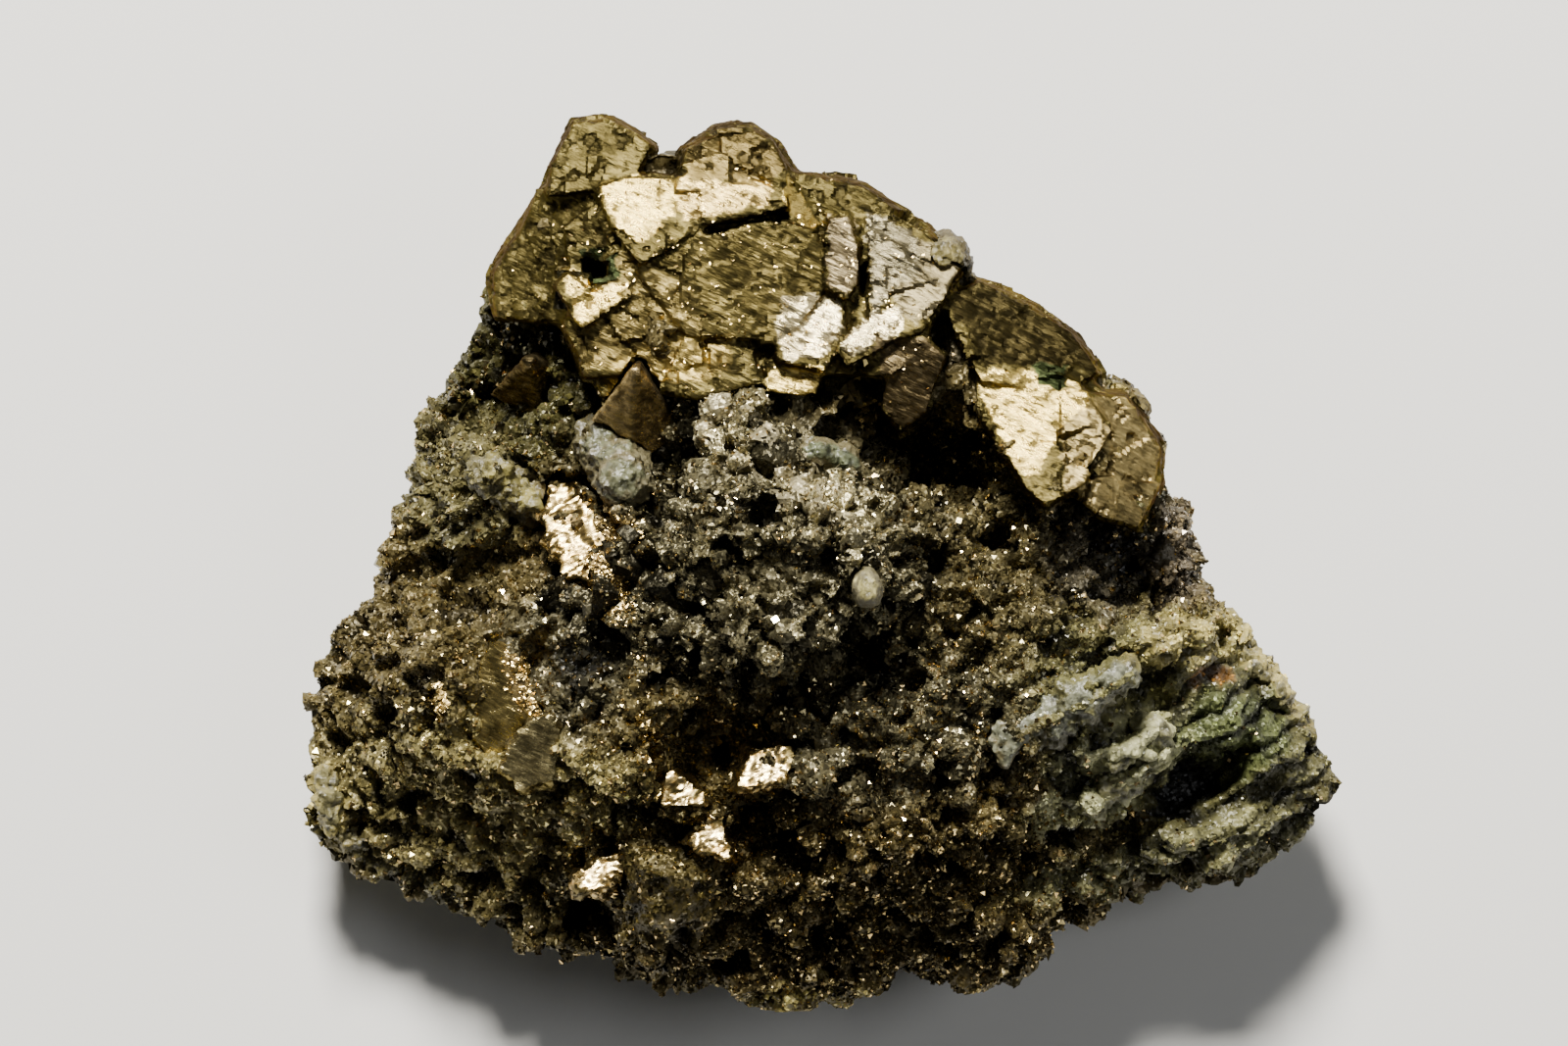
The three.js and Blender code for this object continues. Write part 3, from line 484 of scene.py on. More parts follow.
CROWN_FACES = [
    # what, outline on the face, colour, polish, how uneven
    ("high field", [(-6.2, 15.3), (-0.2, 15.3), (0.0, 12.2), (-2.0, 10.3), (-6.0, 10.6), (-8.4, 13.4)],
     TARNISHED, 0.25, 0.7),
    ("striated field", [(-9.4, 14.4), (-6.0, 12.8), (-5.4, 10.4), (-10.8, 8.6), (-11.6, 11.0)],
     (0.135, 0.103, 0.034), 0.4, 1.0),
    ("golden ledge", [(-9.8, 9.0), (-8.0, 10.1), (-6.2, 10.4), (-4.0, 10.4), (-4.4, 9.0), (-6.2, 8.1),
     (-8.5, 8.8)], OLD_GOLD, 0.6, 1.4),
    ("top block", [(-6.2, 19.8), (-4.4, 20.4), (-2.2, 19.1), (-1.7, 18.0), (-2.4, 17.4), (-6.4, 17.4)],
     (0.098, 0.073, 0.025), 0.5, 1.2),
    ("bright face", [(-10.3, 17.3), (-8.9, 17.8), (-6.6, 17.6), (-6.2, 16.7), (-6.8, 15.9), (-8.4, 14.6),
     (-9.3, 15.3)], FRESH, 0.9, 0.15),
    ("bright ledge", [(-6.6, 17.6), (-4.4, 17.3), (-2.2, 17.6), (-2.4, 16.6), (-4.2, 16.1), (-6.5, 15.6)],
     (0.42, 0.305, 0.10), 0.8, 0.5),
    ("right blade of the top", [(-1.7, 17.9), (-1.1, 16.9), (-0.2, 15.4), (-1.0, 15.3), (-1.9, 16.7)],
     FRESH, 0.8, 0.3),
    ("upper gleaming wedge", [(-12.1, 13.7), (-11.3, 13.4), (-10.6, 12.6), (-11.5, 12.3)], FRESH, 1.0, 0.1),
    ("lower gleaming wedge", [(-11.5, 12.2), (-8.8, 12.9), (-9.2, 12.1), (-11.2, 10.8)], FRESH, 1.0, 0.1),
    ("standing blade", [(0.2, 15.9), (1.4, 15.7), (1.6, 12.8), (0.9, 12.3), (0.1, 12.8)],
     (0.29, 0.23, 0.125), 0.25, 0.1),
    ("white facet", [(1.9, 16.2), (3.0, 15.7), (4.4, 15.0), (4.2, 13.2), (3.0, 12.2), (2.4, 11.0),
     (2.1, 12.8)], (0.165, 0.142, 0.082), 0.7, 0.6),
    ("grey facet", [(4.4, 15.0), (6.3, 13.6), (5.2, 11.8), (4.2, 10.8), (3.0, 12.2), (4.2, 13.2)],
     (0.14, 0.115, 0.06), 0.4, 0.8),
    ("gleaming cup", [(-1.9, 12.2), (0.5, 12.2), (0.9, 10.8), (-0.1, 9.5), (-1.8, 9.0), (-2.0, 10.4)],
     SILVERY, 1.0, 0.5),
    ("gleaming foot", [(-2.5, 8.9), (-0.1, 9.1), (0.2, 8.0), (-1.7, 7.4), (-2.8, 7.9)], FRESH, 0.8, 0.4),
    ("crescent", [(0.8, 10.4), (1.9, 11.3), (3.7, 11.7), (3.6, 10.7), (2.1, 9.9), (1.1, 9.4)],
     SILVERY, 1.0, 0.2),
    ("dark prism", [(2.4, 10.4), (5.6, 10.2), (5.4, 7.4), (3.6, 6.2), (2.6, 7.2)],
     (0.10, 0.075, 0.036), 0.3, 0.4),
    ("bright plate", [(6.9, 8.3), (7.7, 9.0), (9.3, 8.9), (12.2, 8.0), (12.2, 7.0), (10.8, 6.1), (9.5, 3.7),
     (8.6, 4.7)], FRESH, 0.9, 0.4),
    ("tarnished shoulder", [(10.8, 6.1), (12.4, 7.8), (13.9, 7.8), (15.6, 5.0), (15.0, 1.6), (11.0, 2.4)],
     (0.26, 0.20, 0.08), 0.3, 1.3),
    ("dull dome", [(5.4, 12.3), (7.3, 13.0), (9.9, 11.6), (11.5, 10.6), (12.7, 8.9), (11.0, 9.0),
     (7.3, 9.2)], (0.028, 0.022, 0.008), 0.2, 0.4),
    ("green spot", [(9.5, 9.3), (11.1, 9.1), (11.0, 8.0), (9.8, 8.1)], PIT_SHADE_GREEN, 0.1, 1.0),
    # painted shade: the inside of this hole is painted near black with a green cast
    ("green-lined hole", [(-11.1, 14.4), (-9.5, 14.6), (-9.2, 12.9), (-10.8, 12.7)], PIT_SHADE_GREEN, 0.3, 3.0),
]
BROAD_CELLS = 260
NARROW_CELLS = 2400
STRIAE = {"turn": -25, "size": 0.32, "length": 9}
STREAK_HEIGHT = 0.03  # millimetres, as are the next two
CHIP_DEPTH = 0.13
POCK_DEPTH = 0.05
BROAD_SHADE = 0.20  # how much the tone changes from cell to cell
NARROW_SHADE = 0.10
CROWN_KEPT = 0.92  # share of the crown's faces that is left after its flat stretches are thinned

crown = fused("crown", {"chalcopyrite_crown": 0.1}, CROWN_VOXEL)
crown_points = corners(crown)
crown_tint = np.tile(DULL, (len(crown_points), 1))
crown_polish = np.full(len(crown_points), 0.3)
crown_uneven = np.full(len(crown_points), 1.0)
ragged = frayed(crown_points, amount=0.25, size=0.7)
facing_up = ramp(normals(crown)[:, 2], start=0.1, end=0.45)
for _, outline, colour, polish, uneven in CROWN_FACES:
    here = inside(ragged, outline) * facing_up
    crown_tint = blend(crown_tint, here, colour)
    crown_polish += here * (polish - crown_polish)
    crown_uneven += here * (uneven - crown_uneven)
broad, broad_cell = broken_facets(crown_points, BROAD_CELLS, tilt=0.06, step=0.012)
narrow, narrow_cell = broken_facets(crown_points, NARROW_CELLS, tilt=0.035, step=0.002)
streaks = striae(crown_points, **STRIAE)
chips = ramp(rolling(crown_points, size=0.8, shift=5.0), start=0.34, end=0.42)
chips *= np.clip(crown_uneven, 0.3, 1)
pocks = ramp(rolling(crown_points, size=0.35, octaves=2, shift=8.0), start=0.36, end=0.44)
crown_lift = crown_uneven * (broad + narrow + STREAK_HEIGHT * streaks)
crown_lift -= CHIP_DEPTH * chips
crown_lift -= POCK_DEPTH * pocks
place_corners(crown, crown_points + normals(crown) * crown_lift[:, None])
hold_inside(crown)
cell_shade = np.exp(random.normal(0, BROAD_SHADE, BROAD_CELLS))[broad_cell]
cell_shade *= np.exp(random.normal(0, NARROW_SHADE, NARROW_CELLS))[narrow_cell]
cell_shade *= np.exp(0.5 * rolling(crown_points, size=1.6, shift=12.0) + 0.5 * streaks)
# painted shade: the tint is darkened in the chips and pocks sunk into the faces; it is also darker along the
# streaks, with less metal and polish there
pit_shade_and_dirt = np.clip(0.25 * ramp(streaks, start=0.3, end=0.5) * crown_uneven + 0.5 * chips + 0.6 * pocks, 0, 1)
crown_tint *= (cell_shade ** np.clip(crown_uneven, 0.4, 1) * (1 - 0.7 * pit_shade_and_dirt))[:, None]
paint(crown, crown_tint, 0.95 - 0.4 * pit_shade_and_dirt, polish=crown_polish * (1 - 0.6 * pit_shade_and_dirt))
modify(crown, "DECIMATE", ratio=CROWN_KEPT)
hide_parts("chalcopyrite_crown")
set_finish(crown, "chalcopyrite")
print("crown faces:", len(crown.data.polygons))

# %% [markdown]
# Smaller crystals and grains. Cleaved chalcopyrite chips are flat mirrors with ragged borders. Quartz
# and dolomite sit in the rock as rounded, slightly frosted grains. Each could be modelled by hand, but
# the solids already have their form, so each takes a copy of its solid, remeshed finely and made uneven
# by an amount that fits the mineral.

# %% Crystals and pale grains
GRAIN_VOXEL = 0.11 * MM
MIRROR_GOLD = (0.66, 0.49, 0.20)
GOLDEN_FRINGE = (0.42, 0.25, 0.06)  # tarnish between a bright face and its worn parts

SMALL_PIECES = {
    # name: (solids it stands for, slot, colour, then in mm: grown by, uneven by, ragged sides by, sunk by)
    "pyramid": (["bronze_pyramid"], "chalcopyrite", (0.34, 0.255, 0.12), 0.12, 0.02, 0.05, 0),
    "dark_crystal": (["dark_tetrahedron"], "chalcopyrite", (0.15, 0.115, 0.055), 0.12, 0.04, 0.1, 0),
    "slab_upper": (["bronze_slab_upper"], "chalcopyrite", (0.33, 0.26, 0.095), 0.1, 0.06, 0.35, 0),
    "slab_lower": (["bronze_slab_lower"], "chalcopyrite", (0.36, 0.30, 0.14), 0.1, 0.06, 0.35, 0),
    "golden_feather": (["golden_face"], "cleaved_chalcopyrite", (0.50, 0.36, 0.13), 0.1, 0.08, 0.5, 0),
    "mirror_upper": (["mirror_blade_upper"], "cleaved_chalcopyrite", MIRROR_GOLD, 0.15, 0.10, 0.35, 0),
    "mirror_lower": (["mirror_blade_lower"], "cleaved_chalcopyrite", MIRROR_GOLD, 0.15, 0.10, 0.35, 0),
    "mirror_middle": (["mirror_blade_middle"], "cleaved_chalcopyrite", MIRROR_GOLD, 0.15, 0.10, 0.35, 0),
    "mirror_foot": (["mirror_blade_foot"], "cleaved_chalcopyrite", MIRROR_GOLD, 0.15, 0.10, 0.35, 0),
    "quartz_nodule_skin": (["quartz_nodule"], "quartz", (0.122, 0.125, 0.070), 0.05, 0.24, 0, 0.1),
    "quartz_vein_skin": (["quartz_vein"], "quartz", (0.175, 0.18, 0.12), 0.05, 0.16, 0.5, 0.56),
    "quartz_bead_skin": (["quartz_bead"], "quartz", (0.115, 0.13, 0.072), 0.0, 0.18, 0, 0),
    "dolomite_left": (["dolomite_lump"], "dolomite", (0.19, 0.165, 0.05), 0.0, 0.35, 0, 0.2),
    "dolomite_top": (["dolomite_rim_lump"], "dolomite", (0.23, 0.195, 0.07), 0.1, 0.2, 0, 0),
    "dolomite_single": (["dolomite_grain"], "dolomite", (0.36, 0.32, 0.13), 0.1, 0.1, 0, 0),
    "dolomite_wing": (["dolomite_patch", "dolomite_patch_lower"], "dolomite", (0.21, 0.20, 0.095),
                      0, 0.25, 0.5, 0.65),
    "dolomite_edges": (["dolomite_rim", "dolomite_lip"], "dolomite", (0.15, 0.135, 0.058),
                       -0.05, 0.3, 0, 0.3),
}
GOLD_CORNER = ((-13.5, -4.9), (0.9, 1.8), 15)  # of the upper slab on the left slope
LUMP = 0.8  # millimetres across the unevenness of a grain
FINE_LUMP = 0.3
WORN_FROM = 0.72  # share of the way from a mirror's middle to its border where it is worn more than not


def grain_lift(points, facing, uneven, ragged_sides):
    """Lift in millimetres: lumps in three sizes all over, and torn sides where a face has them."""
    lift = uneven * (rolling(points, 2.5 * LUMP) + rolling(points, LUMP) + 0.5 * rolling(points, FINE_LUMP))
    sides = ramp(1 - np.abs(facing[:, 2]), start=0.2, end=0.5)
    return lift + ragged_sides * sides * rolling(points * (1, 1, 0.3), LUMP, shift=3.0)


def overgrown(tint, points, facing):
    """Gives the steep borders of a pale grain half the tone of the face around it."""
    border = ramp(0.8 - facing[:, 2] + 0.5 * rolling(points, size=0.6, shift=6.0), start=0.0, end=0.35)
    return blend(tint, border, 0.5 * zone_paint(points)[0])


def worn_mirror(tint, points):
    """Tarnishes a mirror face from its borders inwards. Gives the tint and the share that is worn."""
    spans = (points.max(axis=0) - points.min(axis=0)) / 2
    outward = np.hypot(*((points - points.mean(axis=0)) / spans)[:, :2].T)
    wear = rolling(points, size=0.6, shift=12.0) + 0.5 * (outward - WORN_FROM)
    worn = ramp(wear, start=0.10, end=0.16)
    fringed = blend(tint, ramp(wear, start=-0.06, end=0.08), GOLDEN_FRINGE)
    return blend(fringed, worn, DARK_BRONZE), worn


def small_piece(name, solids, slot, colour, grow, uneven, ragged_sides, sunk):
    """One crystal or grain made from its solids."""
    piece = fused(name, {solid: grow for solid in solids}, GRAIN_VOXEL)
    points = corners(piece)
    facing = normals(piece)
    lift = grain_lift(points, facing, uneven, ragged_sides)[:, None]
    place_corners(piece, points + facing * lift - (0, 0, sunk))
    hold_inside(piece)
    # painted shade: small pits are painted as darker spots with less polish; the rest of the variation is
    # tone that differs at random
    pocks = ramp(rolling(points, size=0.4, octaves=2, shift=8.0), start=0.18, end=0.34)
    shade = np.clip(0.9 + 0.6 * rolling(points, LUMP, shift=4.0), 0.4, 1.3) * (1 - 0.6 * pocks)
    tint = np.array(colour) * shade[:, None]
    if slot in ("quartz", "dolomite"):
        tint = overgrown(tint, points, facing)
    if slot == "cleaved_chalcopyrite":
        tint, worn = worn_mirror(tint, points)
        pocks = np.maximum(pocks, worn)
    if name == "slab_upper":
        tint = blend(tint, within(points + 0.3 * lift, *GOLD_CORNER), BRASS)
    paint(piece, tint, np.full(len(points), 0.9), polish=1 - pocks)
    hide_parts(*solids)
    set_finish(piece, slot)
    return piece


small = {name: small_piece(name, *made) for name, made in SMALL_PIECES.items()}
print("small pieces:", len(small), "faces:", sum(len(p.data.polygons) for p in small.values()))

# %% [markdown]
# The crust is what makes the face sparkle: more than a hundred thousand crystals, most of them a tenth
# to a quarter of a millimetre across. Real siegenite grows as octahedra, often with cut corners. Each
# kind is a small table of corners, and every crystal gets its own turn, size and colour and is sunk
# partly into the rock. Instances or particles would be lighter, but only real faces are exported, so
# they are written as one mesh per part of the face.

# %% Crystal kinds
OCTAHEDRON = (
    [(1, 0, 0), (-1, 0, 0), (0, 1, 0), (0, -1, 0), (0, 0, 1), (0, 0, -1)],
    [(0, 2, 4), (2, 1, 4), (1, 3, 4), (3, 0, 4), (2, 0, 5), (1, 2, 5), (3, 1, 5), (0, 3, 5)],
)
CUBE = (
    [(x, y, z) for x in (-0.7, 0.7) for y in (-0.7, 0.7) for z in (-0.7, 0.7)],
    [(0, 1, 3), (0, 3, 2), (4, 6, 7), (4, 7, 5), (0, 4, 5), (0, 5, 1),
     (2, 3, 7), (2, 7, 6), (0, 2, 6), (0, 6, 4), (1, 5, 7), (1, 7, 3)],
)
DISPHENOID = (
    [(0.9, 0.9, 0.9), (0.9, -0.9, -0.9), (-0.9, 0.9, -0.9), (-0.9, -0.9, 0.9)],
    [(0, 1, 2), (0, 2, 3), (0, 3, 1), (1, 3, 2)],
)
FLAKE = ([(1.5 * x, 0.7 * y, 0.25 * z) for x, y, z in CUBE[0]], CUBE[1])
NO_AREA = 1e-12  # keeps an empty triangle from dividing by zero


def random_turns(count):
    """Evenly spread rotations as 3 by 3 matrices."""
    quaternions = random.normal(size=(count, 4))
    w, x, y, z = (quaternions / np.linalg.norm(quaternions, axis=1)[:, None]).T
    rows = [
        [1 - 2 * (y * y + z * z), 2 * (x * y - z * w), 2 * (x * z + y * w)],
        [2 * (x * y + z * w), 1 - 2 * (x * x + z * z), 2 * (y * z - x * w)],
        [2 * (x * z - y * w), 2 * (y * z + x * w), 1 - 2 * (x * x + y * y)],
    ]
    return np.array(rows).transpose(2, 0, 1)


def leaning_turns(count, lean, jitter):
    """Rotations that bring +Z near one direction, as of flat chips that face the same way."""
    up = np.array(lean) + jitter * random.normal(size=(count, 3))
    up /= np.linalg.norm(up, axis=1)[:, None]
    side = np.cross(up, random.normal(size=(count, 3)))
    side /= np.linalg.norm(side, axis=1)[:, None]
    return np.stack([side, np.cross(up, side), up], axis=2)


def sample_surface(piece, count, weight):
    """Random points on a mesh, thicker where weight(points, normals) is larger."""
    mesh = piece.data
    mesh.calc_loop_triangles()
    triangles = np.empty(len(mesh.loop_triangles) * 3, dtype=np.int64)
    mesh.loop_triangles.foreach_get("vertices", triangles)
    a, b, c = corners(piece)[triangles.reshape(-1, 3)].transpose(1, 0, 2)
    cross = np.cross(b - a, c - a)
    area = np.linalg.norm(cross, axis=1)
    facing = cross / np.maximum(area, NO_AREA)[:, None]
    chance = area * weight((a + b + c) / 3, facing)
    chosen = random.choice(len(area), size=count, p=chance / chance.sum())
    u, v = random.random((2, count, 1))
    flip = u + v > 1
    u, v = np.where(flip, 1 - u, u), np.where(flip, 1 - v, v)
    places = a[chosen] + u * (b - a)[chosen] + v * (c - a)[chosen]
    return places, facing[chosen]


def crystal_crust(name, places, facing, sizes, tint, metal, kind, turns, sink=0.25):
    """One mesh of many crystals of a kind."""
    shape, faces = (np.array(part) for part in kind)
    count = len(places)
    turned = np.einsum("nij,kj->nki", turns, shape)
    middles = places - facing * (sink * sizes)[:, None]
    points = middles[:, None, :] + turned * sizes[:, None, None]
    ids = faces[None, :, :] + (np.arange(count) * len(shape))[:, None, None]
    mesh = bpy.data.meshes.new(name)
    mesh.vertices.add(count * len(shape))
    mesh.vertices.foreach_set("co", (points * MM).ravel())
    mesh.loops.add(ids.size)
    mesh.loops.foreach_set("vertex_index", ids.ravel())
    mesh.polygons.add(ids.size // 3)
    mesh.polygons.foreach_set("loop_start", np.arange(0, ids.size, 3))
    mesh.update(calc_edges=True)
    piece = bpy.data.objects.new(name, mesh)
    scene.collection.objects.link(piece)
    paint(piece, np.repeat(tint, len(shape), axis=0), np.repeat(metal, len(shape)))
    hold_inside(piece)
    return piece


print("crystal corners:", [len(kind[0]) for kind in (OCTAHEDRON, CUBE, DISPHENOID, FLAKE)])

# %% [markdown]
# Where the crust grows is decided by zone. It is thick on the knob, the slopes and the foot, and thin on
# the wing, on the foot knob and behind the crown. The back has almost none. Brass adds flakes to it: in
# a few places cleaved chips lie side by side and all lean the same way, so that they flash together.

# %% Druse
KNOB_ROOM = ((-3.5, 1.0), (12.0, 12.0), 0)  # the siegenite to its ends

DRUSE = {
    # name: (grown on, kind, how many, mean radius in mm, middle, reach, turn, share of gold)
    "druse_left": (rock, OCTAHEDRON, 21000, 0.12, (-14.0, -3.0), (10.5, 15.0), 0, 0.12),
    "druse_foot": (rock, OCTAHEDRON, 24000, 0.12, (1.0, -13.0), (12.0, 8.0), 0, 0.18),
    "druse_right": (rock, OCTAHEDRON, 20000, 0.12, (9.5, -1.0), (9.0, 8.0), -20, 0.12),
    "druse_wing": (rock, CUBE, 3000, 0.08, (16.5, -8.0), (9.0, 6.0), -24, 0.06),
    "druse_scattered": (rock, CUBE, 5500, 0.10, (0.0, -2.0), (24.0, 19.0), 0, 0.1),
    "druse_glints": (rock, DISPHENOID, 16000, 0.08, (-2.0, -4.0), (24.0, 18.0), 0, 0.4),
    "druse_knob": (siegenite, OCTAHEDRON, 24000, 0.08, *KNOB_ROOM, 0.08),
    "druse_knob_cubes": (siegenite, CUBE, 3000, 0.10, *KNOB_ROOM, 0.15),
    "druse_knob_glints": (siegenite, DISPHENOID, 8000, 0.055, *KNOB_ROOM, 0.15),
    "green_cluster": (rock, OCTAHEDRON, 90, 0.42, (1.3, 8.4), (1.2, 1.2), 0, 0.0),
}
THIN_ON = [
    # middle, reach, turn, share of the crust that is left out there
    ((17.0, -8.0), (8.4, 5.6), -24, 0.85),
    (*BRASS_FLASH, 0.8),
    (*BEHIND_CROWN, 0.95),
    (*FOOT_KNOB, 0.72),
]
LEAST_CHANCE = 1e-9  # keeps the chances from adding up to nothing
SIZE_SPREAD = 0.28  # of the logarithm, as is the other spread
CRUST_TONE = 0.75  # of the crystals against the rock's zone
TONE_SPREAD = 0.45
# painted shade: how much darker the crystals in vugs and pores are painted
HOLLOW_SHADE = 0.85


def crust_on(name, base, kind, count, radius, at, reach, turn, gold_share):
    """The crystals of one part of the face."""
    def weight(points, facing):
        share = within(points, at, reach, turn, soft=0.25) * ramp(facing[:, 2], start=-0.3, end=0.3)
        for *bare, left_out in THIN_ON:
            share *= 1 - left_out * within(points, *bare)
        return share + LEAST_CHANCE

    places, facing = sample_surface(base, count, weight)
    sizes = radius * np.exp(random.normal(0, SIZE_SPREAD, count))
    tint, metal = zone_paint(places)
    tint *= CRUST_TONE * np.exp(random.normal(0, TONE_SPREAD, (count, 1)))
    gold = random.random(count) < gold_share
    tint[gold] = np.array(BRASS) * random.uniform(0.4, 1.0, (gold.sum(), 1))
    # painted shade: crystals that sit in vugs and pores are painted darker
    hollows = pores(places) if base is siegenite else vugs(places)
    tint *= 1 - HOLLOW_SHADE * hollows[:, None]
    metal = np.where(gold, 1.0, metal)
    piece = crystal_crust(name, places, facing, sizes, tint, metal, kind, random_turns(count))
    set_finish(piece, "siegenite" if base is siegenite else "sulphide_druse")
    return piece


TO_LIGHT = (0.0, 0.38, 0.92)  # the way a flat face leans to throw the main light at the viewer
CHIP_JITTER = 0.22
CHIP_SPREAD = 0.3
CHIP_GOLD = (0.55, 0.39, 0.13)
CHIPS = {
    # name: (lies on, how many, radius in mm, middle, reach, turn)
    "chips_left_of_knob": (rock, 2600, 0.08, (-9.4, -0.2), (1.9, 2.4), -8),
    "chips_by_vug": (rock, 110, 0.14, (-8.0, -8.0), (0.35, 1.6), 15),
    "chips_left_slope": (rock, 70, 0.13, (-17.7, -6.3), (0.5, 0.8), 10),
    "chips_on_crown": (crown, 600, 0.055, (-4.0, 12.0), (9.0, 5.5), -15),
    "chips_on_slab": (small["slab_upper"], 300, 0.08, (-13.5, -5.2), (0.9, 1.7), 20),
}


def flat_chips(name, base, count, radius, at, reach, turn):
    """Cleaved brassy chips that all lean the same way."""
    def weight(points, facing):
        share = within(points, at, reach, turn, soft=0.3) * ramp(facing[:, 2], start=0.1, end=0.5)
        return share + LEAST_CHANCE

    places, facing = sample_surface(base, count, weight)
    sizes = radius * np.exp(random.normal(0, CHIP_SPREAD, count))
    tint = np.array(CHIP_GOLD) * random.uniform(0.5, 1.1, (count, 1))
    turns = leaning_turns(count, TO_LIGHT, CHIP_JITTER)
    piece = crystal_crust(name, places, facing, sizes, tint, np.ones(count), FLAKE, turns, sink=-0.1)
    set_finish(piece, "cleaved_chalcopyrite")
    return piece


druse = [crust_on(name, *made) for name, made in DRUSE.items()]
druse += [flat_chips(name, *made) for name, made in CHIPS.items()]
print("druse faces:", [len(piece.data.polygons) for piece in druse])

# %% [markdown]
# Under a lens, the flat faces too are grainy, and no mesh can carry that. A shared node group gives every
# material fine grain: a factor for dirt and roughness, and a normal with tiny facets and bumps, both
# worked out from the object's own coordinates. One group is kept for all, so that a change to it shows
# on the whole specimen.

# %% Shared grain group
BUMP_HEIGHT = 0.1 * MM
GRAIN_INPUTS = {
    "Size": 2500.0,
    "Bump": 0.3,
    "Facet Size": 8000.0,
    "Facet Tilt": 0.0,
    "Stretch": (1.0, 1.0, 1.0),
    "Turn": 0.0,
}


def add_node(tree, kind, operation=None, values=None):
    """Adds a node, says what it does and sets its free sockets."""
    made = tree.nodes.new(kind)
    if operation:
        made.operation = operation
    for key, value in (values or {}).items():
        made.inputs[key].default_value = value
    return made


def link(tree, pairs):
    """Links outputs to inputs."""
    for start, end in pairs:
        tree.links.new(start, end)


def grain_group():
    """Fine grain for any surface: a factor around 0.5, and a normal with tiny facets and bumps."""
    tree = bpy.data.node_groups.new("fine_grain", "ShaderNodeTree")
    for name, value in GRAIN_INPUTS.items():
        kind = "NodeSocketVector" if isinstance(value, tuple) else "NodeSocketFloat"
        tree.interface.new_socket(name, in_out="INPUT", socket_type=kind).default_value = value
    tree.interface.new_socket("Factor", in_out="OUTPUT", socket_type="NodeSocketFloat")
    tree.interface.new_socket("Normal", in_out="OUTPUT", socket_type="NodeSocketVector")
    given = add_node(tree, "NodeGroupInput")
    result = add_node(tree, "NodeGroupOutput")
    coordinates = add_node(tree, "ShaderNodeTexCoord")
    turned = add_node(tree, "ShaderNodeVectorRotate")
    turned.rotation_type = "Z_AXIS"
    stretch = add_node(tree, "ShaderNodeVectorMath", "MULTIPLY")
    grain = add_node(tree, "ShaderNodeTexNoise", values={"Detail": 5.0, "Roughness": 0.65})
    facets = add_node(tree, "ShaderNodeTexVoronoi")
    centred = add_node(tree, "ShaderNodeVectorMath", "SUBTRACT", {1: (0.5, 0.5, 0.5)})
    tilted = add_node(tree, "ShaderNodeVectorMath", "SCALE")
    surface = add_node(tree, "ShaderNodeNewGeometry")
    leaning = add_node(tree, "ShaderNodeVectorMath", "ADD")
    unit = add_node(tree, "ShaderNodeVectorMath", "NORMALIZE")
    bump = add_node(tree, "ShaderNodeBump", values={"Distance": BUMP_HEIGHT})
    link(tree, [
        (coordinates.outputs["Object"], turned.inputs["Vector"]),
        (given.outputs["Turn"], turned.inputs["Angle"]),
        (turned.outputs["Vector"], stretch.inputs[0]),
        (given.outputs["Stretch"], stretch.inputs[1]),
        (stretch.outputs["Vector"], grain.inputs["Vector"]),
        (given.outputs["Size"], grain.inputs["Scale"]),
        (stretch.outputs["Vector"], facets.inputs["Vector"]),
        (given.outputs["Facet Size"], facets.inputs["Scale"]),
        (facets.outputs["Color"], centred.inputs[0]),
        (centred.outputs["Vector"], tilted.inputs[0]),
        (given.outputs["Facet Tilt"], tilted.inputs["Scale"]),
        (tilted.outputs["Vector"], leaning.inputs[0]),
        (surface.outputs["Normal"], leaning.inputs[1]),
        (leaning.outputs["Vector"], unit.inputs[0]),
        (unit.outputs["Vector"], bump.inputs["Normal"]),
        (grain.outputs["Fac"], bump.inputs["Height"]),
        (given.outputs["Bump"], bump.inputs["Strength"]),
        (grain.outputs["Fac"], result.inputs["Factor"]),
        (bump.outputs["Normal"], result.inputs["Normal"]),
    ])
    return tree


GRAIN = grain_group()
print("group:", GRAIN.name)

# %% [markdown]
# Materials. Every piece carries its own colour and share of metal on its corners, so one material per
# kind of surface is enough. Metal is what sets most of the specimen apart: sulphides reflect in their own
# colour, and polish makes a fresh face flash. Quartz and dolomite are no metals, and let light in a
# little.

# %% Materials
GRAIN_LOW, GRAIN_HIGH = 0.3, 0.7  # range in which most of the grain's factor lies
SHADE_LOW, SHADE_HIGH = 0.6, 1.25  # of the colour at its two ends
DULL_SHEEN = 0.35  # of the rock between the crystals
BRASSY_EDGE = (0.35, 0.28, 0.14, 1.0)  # keeps steep brassy sides from shining white
EVEN_GLOW = {"Subsurface Weight": 0.3, "Subsurface Scale": 0.5 * MM, "Subsurface Radius": (1.0, 0.95, 0.7)}
SHARP = math.radians(28)  # edges that bend more than this are drawn sharp


def corner_value(tree, name):
    """Reads a value that paint has stored on the corners."""
    made = add_node(tree, "ShaderNodeAttribute")
    made.attribute_name = name
    return made


def from_grain(tree, at_low, at_high):
    """Turns the grain's factor into another range."""
    limits = {"From Min": GRAIN_LOW, "From Max": GRAIN_HIGH, "To Min": at_low, "To Max": at_high}
    return add_node(tree, "ShaderNodeMapRange", values=limits)


